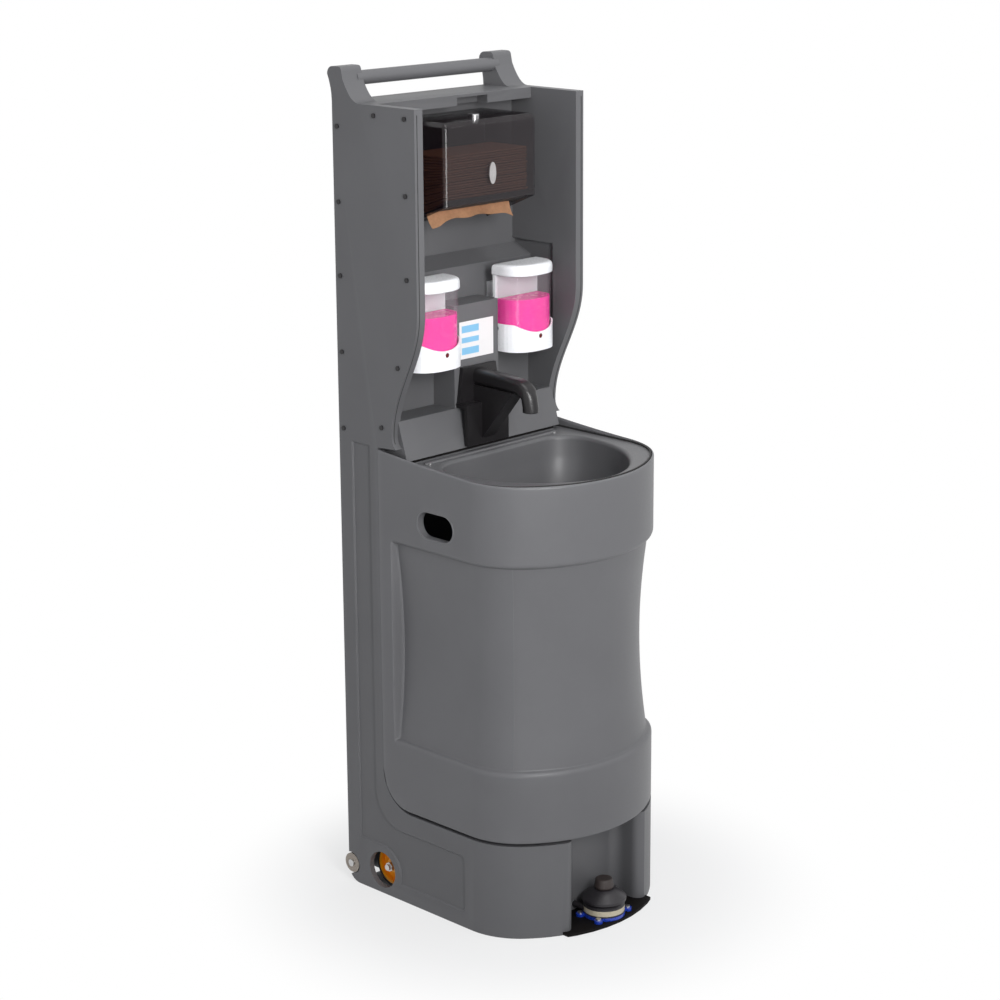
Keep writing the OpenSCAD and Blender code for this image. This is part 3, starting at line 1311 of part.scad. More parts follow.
catch_y = soap_y1 - soap_side / 2 - catch_back;
catch_z = soap_split - catch_drop;
tank_in = soap_t + fit;
tank_low = soap_z + soap_floor + fit;
module tank_plan(i, z0, z1) intersection() {
    slab(soap_plan(tank_in + i), z0, z1);
    block([-soap_w, soap_y0 - over, z0 - over], [soap_w, soap_y1 - soap_back_t - fit - i, z1 + over]);
}
module soap_tank() difference() {
    tank_plan(0, tank_low, lid_z - fit);
    tank_plan(soap_t, tank_low + soap_t, lid_z + over);
    for (s = [-1, 1]) rod_x(s * soap_w / 2 - 3 * catch_in, s * soap_w / 2 + 3 * catch_in,
        catch_y, catch_z, catch_d + 2 * fit);
}
fill_h = 68;
module soap_fill() difference() {
    tank_plan(soap_t + run, tank_low + soap_t + run, tank_low + fill_h);
    for (s = [-1, 1]) rod_x(s * soap_w / 2 - 3 * catch_in, s * soap_w / 2 + 3 * catch_in,
        catch_y, catch_z, catch_d + 4 * fit);
}
lid_top_in = 4;
module soap_lid() difference() {
    union() {
        slab(soap_plan(0), lid_z, lid_z + lid_h - lid_top_in);
        slab(soap_plan(lid_top_in / 2), lid_z, lid_z + lid_h - lid_top_in / 2);
        slab(soap_plan(lid_top_in * 2), lid_z, lid_z + lid_h);
    }
    slab(soap_plan(soap_t + lid_top_in * 2), lid_z - over, lid_z + lid_h - lid_top_in - soap_t);
}
module soap_nozzle() difference() {
    rod_z(soap_z - nozzle_h, soap_z + soap_t, 0, nozzle_y, nozzle_d);
    rod_z(soap_z - nozzle_h - over, soap_z + over, 0, nozzle_y, nozzle_d / 2);
}
module soap_window() translate([0, 0, soap_z + window_up]) rod_y(soap_y0 + window_inset,
    soap_y0 + soap_t, 0, 0, window_d);
module soap_catch(s) rod_x(min(s * (soap_w / 2 - catch_in), s * (soap_w / 2 + catch_out)),
    max(s * (soap_w / 2 - catch_in), s * (soap_w / 2 + catch_out)), catch_y, catch_z, catch_d);
module at_left() translate([-soap_x, 0, 0]) children();
module at_right() translate([soap_x, 0, 0]) children();

housing();
alcove_liner();
rear_panel();
handle_bar();
side_screws();
label_plate();
base_plate();
pump_bracket();
pump_ring();
pump_dome();
pump_knob();
pump_spring();
pump_screws();
axle();
axle_nuts();
hub_left();
hub_right();
tyre_left();
tyre_right();
roller_left();
roller_right();
roller_bolts();
cabinet_shell();
basin();
drain_flange();
drain_tail();
deck_screws();
splash_seal();
fresh_tank();
fresh_cap();
waste_tank();
waste_collar();
suction_hose();
feed_hose();
spout_bracket();
spout_arm();
spout_outlet();
towel_back();
towel_cover();
towel_lock();
towel_badge();
towel_stack();
hanging_towel();
towel_pins();
color(white) at_left() soap_base();  // soap_base_left
color([0.9, 0.85, 0.9], 0.5) at_left() soap_tank();  // soap_tank_left
color(pink) at_left() soap_fill();  // soap_fill_left
color(white) at_left() soap_lid();  // soap_lid_left
color(steel) at_left() soap_nozzle();  // soap_nozzle_left
color("red") at_left() soap_window();  // soap_window_left
color(black) at_left() soap_catch(-1);  // soap_catches_left_out
color(black) at_left() soap_catch(1);  // soap_catches_left_in
color(white) at_right() soap_base();  // soap_base_right
color([0.9, 0.85, 0.9], 0.5) at_right() soap_tank();  // soap_tank_right
color(pink) at_right() soap_fill();  // soap_fill_right
color(white) at_right() soap_lid();  // soap_lid_right
color(steel) at_right() soap_nozzle();  // soap_nozzle_right
color("red") at_right() soap_window();  // soap_window_right
color(black) at_right() soap_catch(1);  // soap_catches_right_out
color(black) at_right() soap_catch(-1);  // soap_catches_right_in
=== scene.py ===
import math

import bmesh
import bpy
from mathutils import Matrix, Vector


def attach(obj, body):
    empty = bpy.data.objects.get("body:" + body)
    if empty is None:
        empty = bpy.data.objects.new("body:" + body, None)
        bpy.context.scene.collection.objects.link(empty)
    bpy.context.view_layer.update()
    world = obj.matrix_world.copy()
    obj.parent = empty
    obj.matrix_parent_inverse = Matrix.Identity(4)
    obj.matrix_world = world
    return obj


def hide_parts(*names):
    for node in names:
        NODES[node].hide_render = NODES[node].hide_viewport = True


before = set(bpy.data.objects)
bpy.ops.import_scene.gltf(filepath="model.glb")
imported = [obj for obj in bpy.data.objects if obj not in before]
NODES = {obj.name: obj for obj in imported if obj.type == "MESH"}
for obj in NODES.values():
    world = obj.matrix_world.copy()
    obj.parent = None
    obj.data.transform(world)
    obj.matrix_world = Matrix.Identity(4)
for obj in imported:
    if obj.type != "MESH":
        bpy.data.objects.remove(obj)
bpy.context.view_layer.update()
MM = 0.001

# Camera
cam_data = bpy.data.cameras.new("camera")
cam_data.lens = 89.563
cam_data.sensor_width = 36
cam_data.shift_x = -0.02
cam_data.shift_y = -0.05
cam_data.clip_end = 50
camera = bpy.data.objects.new("camera", cam_data)
bpy.context.scene.collection.objects.link(camera)
bpy.context.scene.camera = camera
az, pitch, roll = math.radians(45.626), math.radians(14.233), math.radians(0.271)
forward = Vector((math.sin(az) * math.cos(pitch), math.cos(az) * math.cos(pitch), -math.sin(pitch)))
camera.location = (-3.17027, -3.10827, 1.98452)
camera.rotation_mode = "QUATERNION"
camera.rotation_quaternion = forward.to_track_quat("-Z", "Y") @ Matrix.Rotation(-roll, 3, "Z").to_quaternion()


# Mesh helpers (millimetres in, metres out)
def new_object(name, verts, faces):
    me = bpy.data.meshes.new(name)
    me.from_pydata([(x * MM, y * MM, z * MM) for x, y, z in verts], [], faces)
    me.update()
    o = bpy.data.objects.new(name, me)
    bpy.context.scene.collection.objects.link(o)
    return o


def tidy(o, merge=0.02):
    """Close points welded, empty faces dropped, and all faces turned outwards."""
    bm = bmesh.new()
    bm.from_mesh(o.data)
    bmesh.ops.remove_doubles(bm, verts=bm.verts, dist=merge * MM)
    bmesh.ops.dissolve_degenerate(bm, edges=bm.edges, dist=merge * MM)
    bmesh.ops.recalc_face_normals(bm, faces=bm.faces)
    bm.to_mesh(o.data)
    bm.free()
    return o


def skin(rings, closed=True, ends=False):
    """Points and faces of a skin over rings that have as many points each."""
    n = len(rings[0])
    verts = [p for ring in rings for p in ring]
    faces = []
    for r in range(len(rings) - 1):
        for j in range(n if closed else n - 1):
            a, b = r * n + j, r * n + (j + 1) % n
            faces.append((a, b, b + n, a + n))
    if ends:
        faces += [tuple(range(n - 1, -1, -1)), tuple(range(len(verts) - n, len(verts)))]
    return verts, faces


def prism(name, pts, a, b, axis):
    """An outline extruded along an axis: x takes (y, z) points, y takes (x, z), z takes (x, y)."""
    def place(p, t):
        return {"x": (t, p[0], p[1]), "y": (p[0], t, p[1]), "z": (p[0], p[1], t)}[axis]

    rings = [[place(p, t) for p in pts] for t in (a, b)]
    return tidy(new_object(name, *skin(rings, ends=True)))


def box_mesh(name, lo, hi):
    return prism(name, [(lo[0], lo[1]), (hi[0], lo[1]), (hi[0], hi[1]), (lo[0], hi[1])], lo[2], hi[2], "z")


def rod(name, axis, c, r, a, b, n=48):
    """A round bar about c from a to b along an axis."""
    turns = [2 * math.pi * k / n for k in range(n)]
    pts = [(c[0] + r * math.cos(t), c[1] + r * math.sin(t)) for t in turns]
    return prism(name, pts, a, b, axis)


def apply_modifiers(o):
    dg = bpy.context.evaluated_depsgraph_get()
    me = bpy.data.meshes.new_from_object(o.evaluated_get(dg))
    o.modifiers.clear()
    old = o.data
    o.data = me
    bpy.data.meshes.remove(old)
    return o


def boolean(o, other, kind):
    """One exact boolean, which uses the other object up."""
    m = o.modifiers.new("boolean", "BOOLEAN")
    m.object = other
    m.operation = kind
    m.solver = "EXACT"
    apply_modifiers(o)
    bpy.data.objects.remove(other)
    return o


def cut(o, *others):
    for other in others:
        boolean(o, other, "DIFFERENCE")
    return o


def join_with(o, *others):
    for other in others:
        boolean(o, other, "UNION")
    return o


def merge_flat(o, degrees=0.6):
    """Faces that lie flat with each other made one."""
    bm = bmesh.new()
    bm.from_mesh(o.data)
    bmesh.ops.remove_doubles(bm, verts=bm.verts, dist=0.02 * MM)
    bmesh.ops.dissolve_limit(bm, angle_limit=math.radians(degrees), verts=bm.verts, edges=bm.edges)
    bm.to_mesh(o.data)
    bm.free()
    return o


def bevel(o, width, segments, degrees, miter="MITER_SHARP"):
    m = o.modifiers.new("bevel", "BEVEL")
    m.width = width * MM
    m.segments = segments
    m.limit_method = "ANGLE"
    m.angle_limit = math.radians(degrees)
    m.miter_outer = miter
    return apply_modifiers(o)


def round_edges(o, width, segments=3, degrees=28):
    merge_flat(o)
    return bevel(o, width, segments, degrees, "MITER_ARC")


def thicken(o, wall, side=-1, even=False):
    """A wall on the inside of a skin, or half on each side of it where side is 0."""
    m = o.modifiers.new("wall", "SOLIDIFY")
    m.thickness = wall * MM
    m.offset = side
    m.use_even_offset = even
    return apply_modifiers(o)


def shade(o, degrees=32):
    """Smooth shading that stays sharp over edges steeper than the given angle."""
    me = o.data
    me.polygons.foreach_set("use_smooth", [True] * len(me.polygons))
    me.set_sharp_from_angle(angle=math.radians(degrees))
    m = o.modifiers.new("even_shading", "WEIGHTED_NORMAL")
    m.keep_sharp = True
    m.weight = 80
    return apply_modifiers(o)


def offset_outline(pts, d):
    """The outline moved outwards by d, for outlines that run either way round."""
    n = len(pts)
    area = sum(pts[k][0] * pts[(k + 1) % n][1] - pts[(k + 1) % n][0] * pts[k][1] for k in range(n))
    turn = 1 if area > 0 else -1
    out = []
    for k in range(n):
        (x0, y0), (x1, y1), (x2, y2) = pts[k - 1], pts[k], pts[(k + 1) % n]
        a = Vector((y1 - y0, x0 - x1)).normalized()
        b = Vector((y2 - y1, x1 - x2)).normalized()
        m = (a + b).normalized()
        m = m * (turn * d / max(0.4, m.dot(a)))
        out.append((x1 + m.x, y1 + m.y))
    return out


def tapered(name, pts_a, a, pts_b, b):
    """A loft along x between two outlines with as many points."""
    rings = [[(a, y, z) for y, z in pts_a], [(b, y, z) for y, z in pts_b]]
    return tidy(new_object(name, *skin(rings, ends=True)))


def finish_piece(o, body, mat, replaces=(), degrees=32):
    """Material, shading, the body that it rides and the nodes whose place it takes."""
    o.data.materials.clear()
    o.data.materials.append(mat)
    shade(o, degrees)
    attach(o, body)
    if replaces:
        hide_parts(*replaces)
    return o


def middle(node):
    """The middle of a CAD node's box, in millimetres."""
    ob = NODES[node]
    pts = [ob.matrix_world @ v.co for v in ob.data.vertices]
    return [(min(p[k] for p in pts) + max(p[k] for p in pts)) / 2 / MM for k in range(3)]


def copy_node(node, name, width=0.0, segments=2, degrees=30):
    """A copy of a CAD node's mesh with welded corners and softened edges."""
    o = bpy.data.objects.new(name, NODES[node].data.copy())
    bpy.context.scene.collection.objects.link(o)
    o.data.materials.clear()
    bm = bmesh.new()
    bm.from_mesh(o.data)
    bmesh.ops.remove_doubles(bm, verts=bm.verts, dist=0.005 * MM)
    bmesh.ops.recalc_face_normals(bm, faces=bm.faces)
    bm.to_mesh(o.data)
    bm.free()
    for a in list(o.data.attributes):
        if a.name in ("custom_normal", "sharp_face", "sharp_edge"):
            o.data.attributes.remove(a)
    if width:
        round_edges(o, width, segments, degrees)
    return o


# Materials
def nodes_of(mat):
    mat.use_nodes = True
    nt = mat.node_tree
    nt.nodes.clear()
    out = nt.nodes.new("ShaderNodeOutputMaterial")
    bsdf = nt.nodes.new("ShaderNodeBsdfPrincipled")
    nt.links.new(bsdf.outputs[0], out.inputs[0])
    return nt, bsdf


def add_noise(nt, scale, detail=4.0, rough=0.5, squeeze=None):
    tc = nt.nodes.new("ShaderNodeTexCoord")
    n = nt.nodes.new("ShaderNodeTexNoise")
    n.inputs["Scale"].default_value = scale
    n.inputs["Detail"].default_value = detail
    n.inputs["Roughness"].default_value = rough
    if squeeze:
        mp = nt.nodes.new("ShaderNodeMapping")
        mp.inputs["Scale"].default_value = squeeze
        nt.links.new(tc.outputs["Object"], mp.inputs["Vector"])
        nt.links.new(mp.outputs["Vector"], n.inputs["Vector"])
    else:
        nt.links.new(tc.outputs["Object"], n.inputs["Vector"])
    return n


def ramp(nt, source, stops):
    r = nt.nodes.new("ShaderNodeValToRGB")
    e = r.color_ramp.elements
    e[0].position, e[0].color = stops[0][0], (*stops[0][1], 1)
    e[1].position, e[1].color = stops[-1][0], (*stops[-1][1], 1)
    for pos, col in stops[1:-1]:
        x = e.new(pos)
        x.color = (*col, 1)
    nt.links.new(source, r.inputs["Fac"])
    return r


def add_bump(nt, bsdf, height, strength, distance):
    b = nt.nodes.new("ShaderNodeBump")
    b.inputs["Strength"].default_value = strength
    b.inputs["Distance"].default_value = distance
    nt.links.new(height, b.inputs["Height"])
    nt.links.new(b.outputs["Normal"], bsdf.inputs["Normal"])
    return b


def math_node(tree, operation, *values):
    """The outcome of an operation on sockets or plain numbers."""
    node = tree.nodes.new("ShaderNodeMath")
    node.operation = operation
    for k, value in enumerate(values):
        if isinstance(value, float):
            node.inputs[k].default_value = value
        else:
            tree.links.new(value, node.inputs[k])
    return node.outputs[0]


def grey(v):
    return (v, v, v)


def tint(c, k):
    return tuple(min(1.0, x * k) for x in c)


def plastic(name, color, rough=0.5, grain=420.0, bump=0.12, spread=0.06, patch=6.0,
            coat=0.0, spec=0.5, edge_highlight=0.0):
    """Plastic with broad patches, a fine grain and, where the edge factor is over 0, a painted highlight that
    makes the edges paler.
    """
    mat = bpy.data.materials.new(name)
    nt, bsdf = nodes_of(mat)
    broad = add_noise(nt, patch, 5.0, 0.6)
    r = ramp(nt, broad.outputs["Fac"], [(0.3, tint(color, 1 - spread)), (0.7, tint(color, 1 + spread))])
    source = r.outputs["Color"]
    # Painted highlight: colour lightened on sharp edges, found by how pointy the mesh is.
    if edge_highlight:
        geo = nt.nodes.new("ShaderNodeNewGeometry")
        edge = ramp(nt, geo.outputs["Pointiness"], [(0.505, grey(0.0)), (0.56, grey(1.0))])
        mix = nt.nodes.new("ShaderNodeMix")
        mix.data_type = "RGBA"
        nt.links.new(math_node(nt, "MULTIPLY", edge.outputs["Color"], edge_highlight), mix.inputs["Factor"])
        nt.links.new(source, mix.inputs["A"])
        mix.inputs["B"].default_value = (*tint(color, 2.0), 1)
        source = mix.outputs["Result"]
    nt.links.new(source, bsdf.inputs["Base Color"])
    fine = add_noise(nt, grain, 3.0, 0.6)
    rr = ramp(nt, fine.outputs["Fac"], [(0.25, grey(rough - 0.07)), (0.75, grey(rough + 0.07))])
    nt.links.new(rr.outputs["Color"], bsdf.inputs["Roughness"])
    add_bump(nt, bsdf, fine.outputs["Fac"], bump, 0.0006)
    bsdf.inputs["Specular IOR Level"].default_value = spec
    if coat:
        bsdf.inputs["Coat Weight"].default_value = coat
        bsdf.inputs["Coat Roughness"].default_value = 0.12
    return mat


def metal(name, color, rough=0.3, grain=220.0, squeeze=(1, 1, 12), bump=0.05):
    """Metal with a grain that runs along one axis."""
    mat = bpy.data.materials.new(name)
    nt, bsdf = nodes_of(mat)
    n = add_noise(nt, grain, 3.0, 0.5, squeeze=squeeze)
    r = ramp(nt, n.outputs["Fac"], [(0.3, tint(color, 0.86)), (0.7, tint(color, 1.06))])
    nt.links.new(r.outputs["Color"], bsdf.inputs["Base Color"])
    bsdf.inputs["Metallic"].default_value = 1.0
    rr = ramp(nt, n.outputs["Fac"], [(0.3, grey(rough - 0.06)), (0.7, grey(rough + 0.08))])
    nt.links.new(rr.outputs["Color"], bsdf.inputs["Roughness"])
    add_bump(nt, bsdf, n.outputs["Fac"], bump, 0.0004)
    return mat


def clear(name, color, rough=0.1, alpha=0.5, grain=60.0, spec=0.5, coat=0.0):
    """See-through plastic, of which alpha is the share that hides what is behind."""
    mat = bpy.data.materials.new(name)
    nt, bsdf = nodes_of(mat)
    n = add_noise(nt, grain, 2.0, 0.5)
    r = ramp(nt, n.outputs["Fac"], [(0.3, tint(color, 0.94)), (0.7, tint(color, 1.06))])
    nt.links.new(r.outputs["Color"], bsdf.inputs["Base Color"])
    rr = ramp(nt, n.outputs["Fac"], [(0.3, grey(max(0.02, rough - 0.03))), (0.7, grey(rough + 0.03))])
    nt.links.new(rr.outputs["Color"], bsdf.inputs["Roughness"])
    bsdf.inputs["Alpha"].default_value = alpha
    bsdf.inputs["Specular IOR Level"].default_value = spec
    bsdf.inputs["Coat Weight"].default_value = coat
    bsdf.inputs["Coat Roughness"].default_value = 0.03
    add_bump(nt, bsdf, n.outputs["Fac"], 0.02, 0.0004)
    return mat


def paper(name, color):
    """Dull paper with blotches and a raised fibre."""
    mat = bpy.data.materials.new(name)
    nt, bsdf = nodes_of(mat)
    n = add_noise(nt, 90.0, 6.0, 0.7)
    r = ramp(nt, n.outputs["Fac"], [(0.3, tint(color, 0.82)), (0.7, tint(color, 1.15))])
    nt.links.new(r.outputs["Color"], bsdf.inputs["Base Color"])
    bsdf.inputs["Roughness"].default_value = 0.9
    bsdf.inputs["Specular IOR Level"].default_value = 0.2
    fibre = add_noise(nt, 700.0, 4.0, 0.7)
    add_bump(nt, bsdf, fibre.outputs["Fac"], 0.35, 0.0006)
    return mat


GREY = (0.114, 0.114, 0.119)
# The last factor of body, sink, bowl and black paints a highlight on their edges.
M = {
    "body": plastic("grey_moulded", tint(GREY, 0.97), 0.46, 520, 0.2, 0.05, 5.0, spec=0.36, edge_highlight=0.10),
    "sink": plastic("grey_sink", tint(GREY, 1.12), 0.42, 560, 0.16, 0.05, 5.0, spec=0.36, edge_highlight=0.10),
    "bowl": plastic("grey_bowl", tint(GREY, 0.90), 0.42, 480, 0.10, 0.05, 8.0, spec=0.4, edge_highlight=0.05),
    "rear": plastic("grey_rear", tint(GREY, 0.95), 0.5, 500, 0.2, 0.05, 5.0),
    "black": plastic("black_satin", (0.010, 0.009, 0.010), 0.36, 300, 0.1, 0.2, 12.0, spec=0.4, edge_highlight=0.05),
    "rubber": plastic("black_rubber", (0.005, 0.004, 0.004), 0.7, 260, 0.2, 0.2, 14.0, spec=0.12),
    "dome": plastic("dome_rubber", (0.020, 0.018, 0.021), 0.42, 220, 0.14, 0.2, 14.0, spec=0.45),
    "tyre": plastic("tyre_rubber", grey(0.014), 0.75, 240, 0.3, 0.2, 14.0),
    "orange": plastic("orange_plastic", (0.95, 0.36, 0.008), 0.35, 300, 0.08, 0.08, 12.0, coat=0.2),
    "blue": plastic("blue_paint", (0.01, 0.045, 0.42), 0.28, 260, 0.06, 0.1, 14.0, coat=0.5),
    "cream": plastic("cream_plastic", (0.56, 0.50, 0.37), 0.45, 300, 0.12, 0.1, 20.0),
    "knob": plastic("knob_plastic", (0.036, 0.027, 0.025), 0.55, 260, 0.2, 0.12, 30.0),
    "white": plastic("white_plastic", (0.90, 0.91, 0.93), 0.30, 300, 0.05, 0.02, 8.0, coat=0.35),
    "label": plastic("label_film", (0.80, 0.78, 0.78), 0.35, 300, 0.03, 0.02, 12.0, coat=0.3),
    "pale": plastic("label_tint", (0.22, 0.50, 0.74), 0.4, 300, 0.03, 0.03, 12.0),
    "roller": plastic("roller_nylon", (0.33, 0.285, 0.24), 0.45, 300, 0.12, 0.08, 20.0),
    "inner": plastic("inner_plastic", grey(0.020), 0.6, 300, 0.1, 0.1, 10.0),
    "can": clear("can_plastic", (0.72, 0.75, 0.78), 0.35, 0.85),
    "waste": plastic("waste_plastic", (0.16, 0.175, 0.19), 0.5, 300, 0.12, 0.06, 10.0),
    "cap": plastic("cap_plastic", (0.01, 0.05, 0.35), 0.35, 260, 0.08, 0.06, 12.0),
    "hose": clear("hose_plastic", (0.70, 0.74, 0.78), 0.2, 0.55),
    "steel": metal("zinc_steel", (0.55, 0.55, 0.55), 0.34),
    "chrome": metal("chrome", (0.75, 0.75, 0.76), 0.12, 80, (1, 1, 1), 0.01),
    "badge": metal("badge_metal", (0.50, 0.48, 0.48), 0.45, 200, (1, 1, 6)),
    "smoke": clear("smoke_plastic", (0.010, 0.005, 0.008), 0.05, 0.48, 6.0, spec=0.45, coat=0.25),
    "tank": clear("clear_tank", (0.50, 0.44, 0.48), 0.06, 0.08, 5.0, spec=0.6, coat=0.5),
    "liquid": plastic("pink_liquid", (1.0, 0.012, 0.36), 0.25, 60, 0.02, 0.04, 20.0, spec=0.25),
    "window": clear("red_window", (0.12, 0.003, 0.006), 0.08, 0.95),
    "towel": paper("towel_brown", (0.40, 0.17, 0.10)),
    "sheet": paper("towel_tan", (0.42, 0.225, 0.125)),
    # Near-black for thin strips that paint the shade inside narrow gaps.
    "gap_shade": plastic("painted_gap_shade", grey(0.02), 0.7, 300, 0.1, 0.1, 10.0),
}

CARRIED = {
    "rear_panel": "rear", "side_screws": "black", "axle": "steel", "axle_nuts": "steel",
    "roller_bolts": "steel", "roller_left": "roller", "roller_right": "roller", "pump_screws": "steel",
    "pump_spring": "steel", "drain_flange": "chrome", "drain_tail": "black", "deck_screws": "steel",
    "fresh_tank": "can", "fresh_cap": "cap", "waste_tank": "waste", "waste_collar": "black",
    "suction_hose": "hose", "feed_hose": "hose", "spout_outlet": "chrome", "towel_back": "inner",
    "towel_lock": "chrome", "towel_badge": "badge", "towel_pins": "steel", "label_plate": "label",
    "pump_ring": "cream", "pump_dome": "dome", "pump_knob": "knob", "pump_bracket": "blue",
    "base_plate": "rubber", "splash_seal": "rubber", "handle_bar": "body",
    "hub_left": "orange", "hub_right": "orange", "tyre_left": "tyre", "tyre_right": "tyre",
    "spout_arm": "black", "spout_bracket": "black",
}
for side in ("left", "right"):
    CARRIED[f"soap_nozzle_{side}"] = "chrome"
    CARRIED[f"soap_window_{side}"] = "window"
    CARRIED[f"soap_fill_{side}"] = "liquid"
    CARRIED[f"soap_tank_{side}"] = "tank"
    CARRIED[f"soap_base_{side}"] = "white"
    CARRIED[f"soap_catches_{side}_out"] = "black"
    CARRIED[f"soap_catches_{side}_in"] = "black"
for node, key in CARRIED.items():
    ob = NODES[node]
    ob.data.materials.clear()
    ob.data.materials.append(M[key])

# Sizes in millimetres, as in the CAD
HALF = 215.0
BACK = 249.5
FRONT = -249.5
WALL = 5.0
OVER = 9.0
LAP = 6.0
EDGE_R = 6.0

# front corners and the bow between them
CORNER_R = 130.0
CORNER_BACK = 163.0
BOW_R = ((HALF - CORNER_R) ** 2 + CORNER_BACK ** 2 - CORNER_R ** 2) / (2 * (CORNER_BACK - CORNER_R))
JOIN = math.degrees(math.atan2(HALF - CORNER_R, BOW_R - CORNER_BACK))

# column, wings, roof and horns
COL = BACK - 103
WING = BACK - 214
BASE = 180.0
FILLET = 76.0
REAR_R = 30.0
ROOF = 1498.0
CEILING = ROOF - 20
ROOF_Y = BACK - 98
NOTCH_X = (2.0, 80.0)
NOTCH_Y = (ROOF_Y - 9, ROOF_Y + 27)
SWEEP = 72.0
SWEEP_Z = 1135.0
WING_END = 902.0
WING_LOW = 877.0
FOOT_R = 24.0
FOOT_TURN = 58
HORN_Y = BACK - 70
HORN_IN = 167.0
HORN_TOP = 1560.0
HORN_RISE = 40.0
HORN_FACE = 43.0
HORN_R = 8.0
HORN_BACK_R = 14.0
HORN_OUT = 11.0
HORN_ROOT = 12.0

# alcove
UPPER = BACK - 47
LOWER = BACK - 88
LEDGE = 1190.0
LEDGE_RISE = 10.0
ALCOVE_Z = 862.0
NICHE = 929.0
LINER_X = 195.0
CONSOLE_Y = LOWER - 56
CONSOLE_Z = 1121.0
CONSOLE_HALF = 57.0
APRON_Z = 858.0
APRON_Y = COL - 63
APRON_LEAN = 22.0
APRON_HALF = 200.0
POCKET_Y = WING + 60
POCKET_Z = 1015.0
POCKET_TOP = LEDGE + 18
POCKET_DEEP = 8.0

# hollows
LOW_TOP = 866.0
HIGH_HALF = 188.0
HIGH_TOP = 1470.0
REAR_LOW = 64.0

# pump recess
RECESS_HALF = 86.0
RECESS_BACK = -169.5
RECESS_R = 22.0
FLARE_HALF = 104.0
FLARE_R = 18.0
FLARE_BACK = -202.0
FLARE_WALL = 8.0
PLATE_HALF = 114.4
PLATE_BACK = -162.5
PLATE_Z = 6.4
HOSE_X = 28.0
HOSE_Z = 19.0
HOSE_HOLE_R = 6.7
SHELF_HOLE = (84.0, COL - FILLET - 8)
SHELF_HOLE_R = 6.8

# wheels, rollers and side panels
WHEEL_Y, WHEEL_Z = middle("hub_left")[1:]
WHEEL_HOLE = (WHEEL_Y + 3, WHEEL_Z - 2)
WHEEL_HOLE_R = 35.5
WHEEL_HOLE_IN = 190.0
COLLAR_R = 41.0
COLLAR_X = (204.0, 214.0)
RIB_X = (154.0, 160.0)
RIB_Y = WHEEL_Y - 57
RIB_Z = (12.0, 250.0)
ROLLER = middle("roller_left")[1:]
ROLLER_ROOM = 22.5
ROLLER_IN = 198.0
ROLLER_WALL_X = (193.0, 214.0)
ROLLER_WALL_Y = 213.5
ROLLER_WALL_Z = 6.0
ARCH_R = 52.0
PANEL_REAR = 213.5
PANEL_FRONT = COL + 24
PANEL_HIGH = 875.0
PANEL_TOP = 138.0
PANEL_NOSE = -58.5
PANEL_R = 8.0
PANEL_BEND = 72.0
PANEL_DEEP = 3.0
PANEL_PROUD = 1.5


def around(c, r, a):
    a = math.radians(a)
    return (c[0] - r * math.sin(a), c[1] - r * math.cos(a))


def front_path(i, nc=14, nb=24):
    """The front of the plan, i millimetres in: two corners and the bow between them."""
    left, right = (-(HALF - CORNER_R), FRONT + CORNER_BACK), (HALF - CORNER_R, FRONT + CORNER_BACK)
    pts = [around(left, CORNER_R - i, 90 - (90 - JOIN) * k / nc) for k in range(nc + 1)]
    pts += [around((0, FRONT + BOW_R), BOW_R - i, JOIN - 2 * JOIN * k / nb) for k in range(1, nb)]
    pts += [around(right, CORNER_R - i, -JOIN - (90 - JOIN) * k / nc) for k in range(nc + 1)]
    return pts


def arc(c, r, a0, a1, n):
    return [(c[0] + r * math.cos(math.radians(a0 + (a1 - a0) * k / n)),
             c[1] + r * math.sin(math.radians(a0 + (a1 - a0) * k / n))) for k in range(n + 1)]


def wing_edge(n=22):
    """Front edge of a wing below the sweep, down to the round of its foot, as (y, z)."""
    pts = [(WING + SWEEP * (1 - math.cos(math.pi * k / n)) / 2, SWEEP_Z - (SWEEP_Z - WING_END) * k / n)
           for k in range(n + 1)]
    return pts + arc((WING + SWEEP - FOOT_R, WING_LOW + FOOT_R), FOOT_R, 0, -FOOT_TURN, 6)[1:]


def span(s, a, b):
    """From a to b on side s of the middle, the lower end first."""
    return sorted((s * a, s * b))


# Station body
def horn_outline():
    pts = [(HORN_Y + HORN_RISE * t / 8, ROOF + HORN_RISE * (t / 8) ** 2) for t in range(9)]
    pts += arc((HORN_Y + HORN_FACE + HORN_R, HORN_TOP - HORN_R), HORN_R, 180, 90, 4)
    round_z = HORN_TOP - HORN_BACK_R
    pts += arc((BACK + HORN_OUT - HORN_BACK_R, round_z), HORN_BACK_R, 90, 0, 6)
    pts += [(BACK + HORN_OUT * (1 - t) ** 2, round_z - (round_z - ROOF) * t) for t in (0.25, 0.5, 0.75, 1.0)]
    return pts + [(BACK, ROOF - HORN_ROOT), (HORN_Y - 4, ROOF - HORN_ROOT), (HORN_Y - 4, ROOF)]


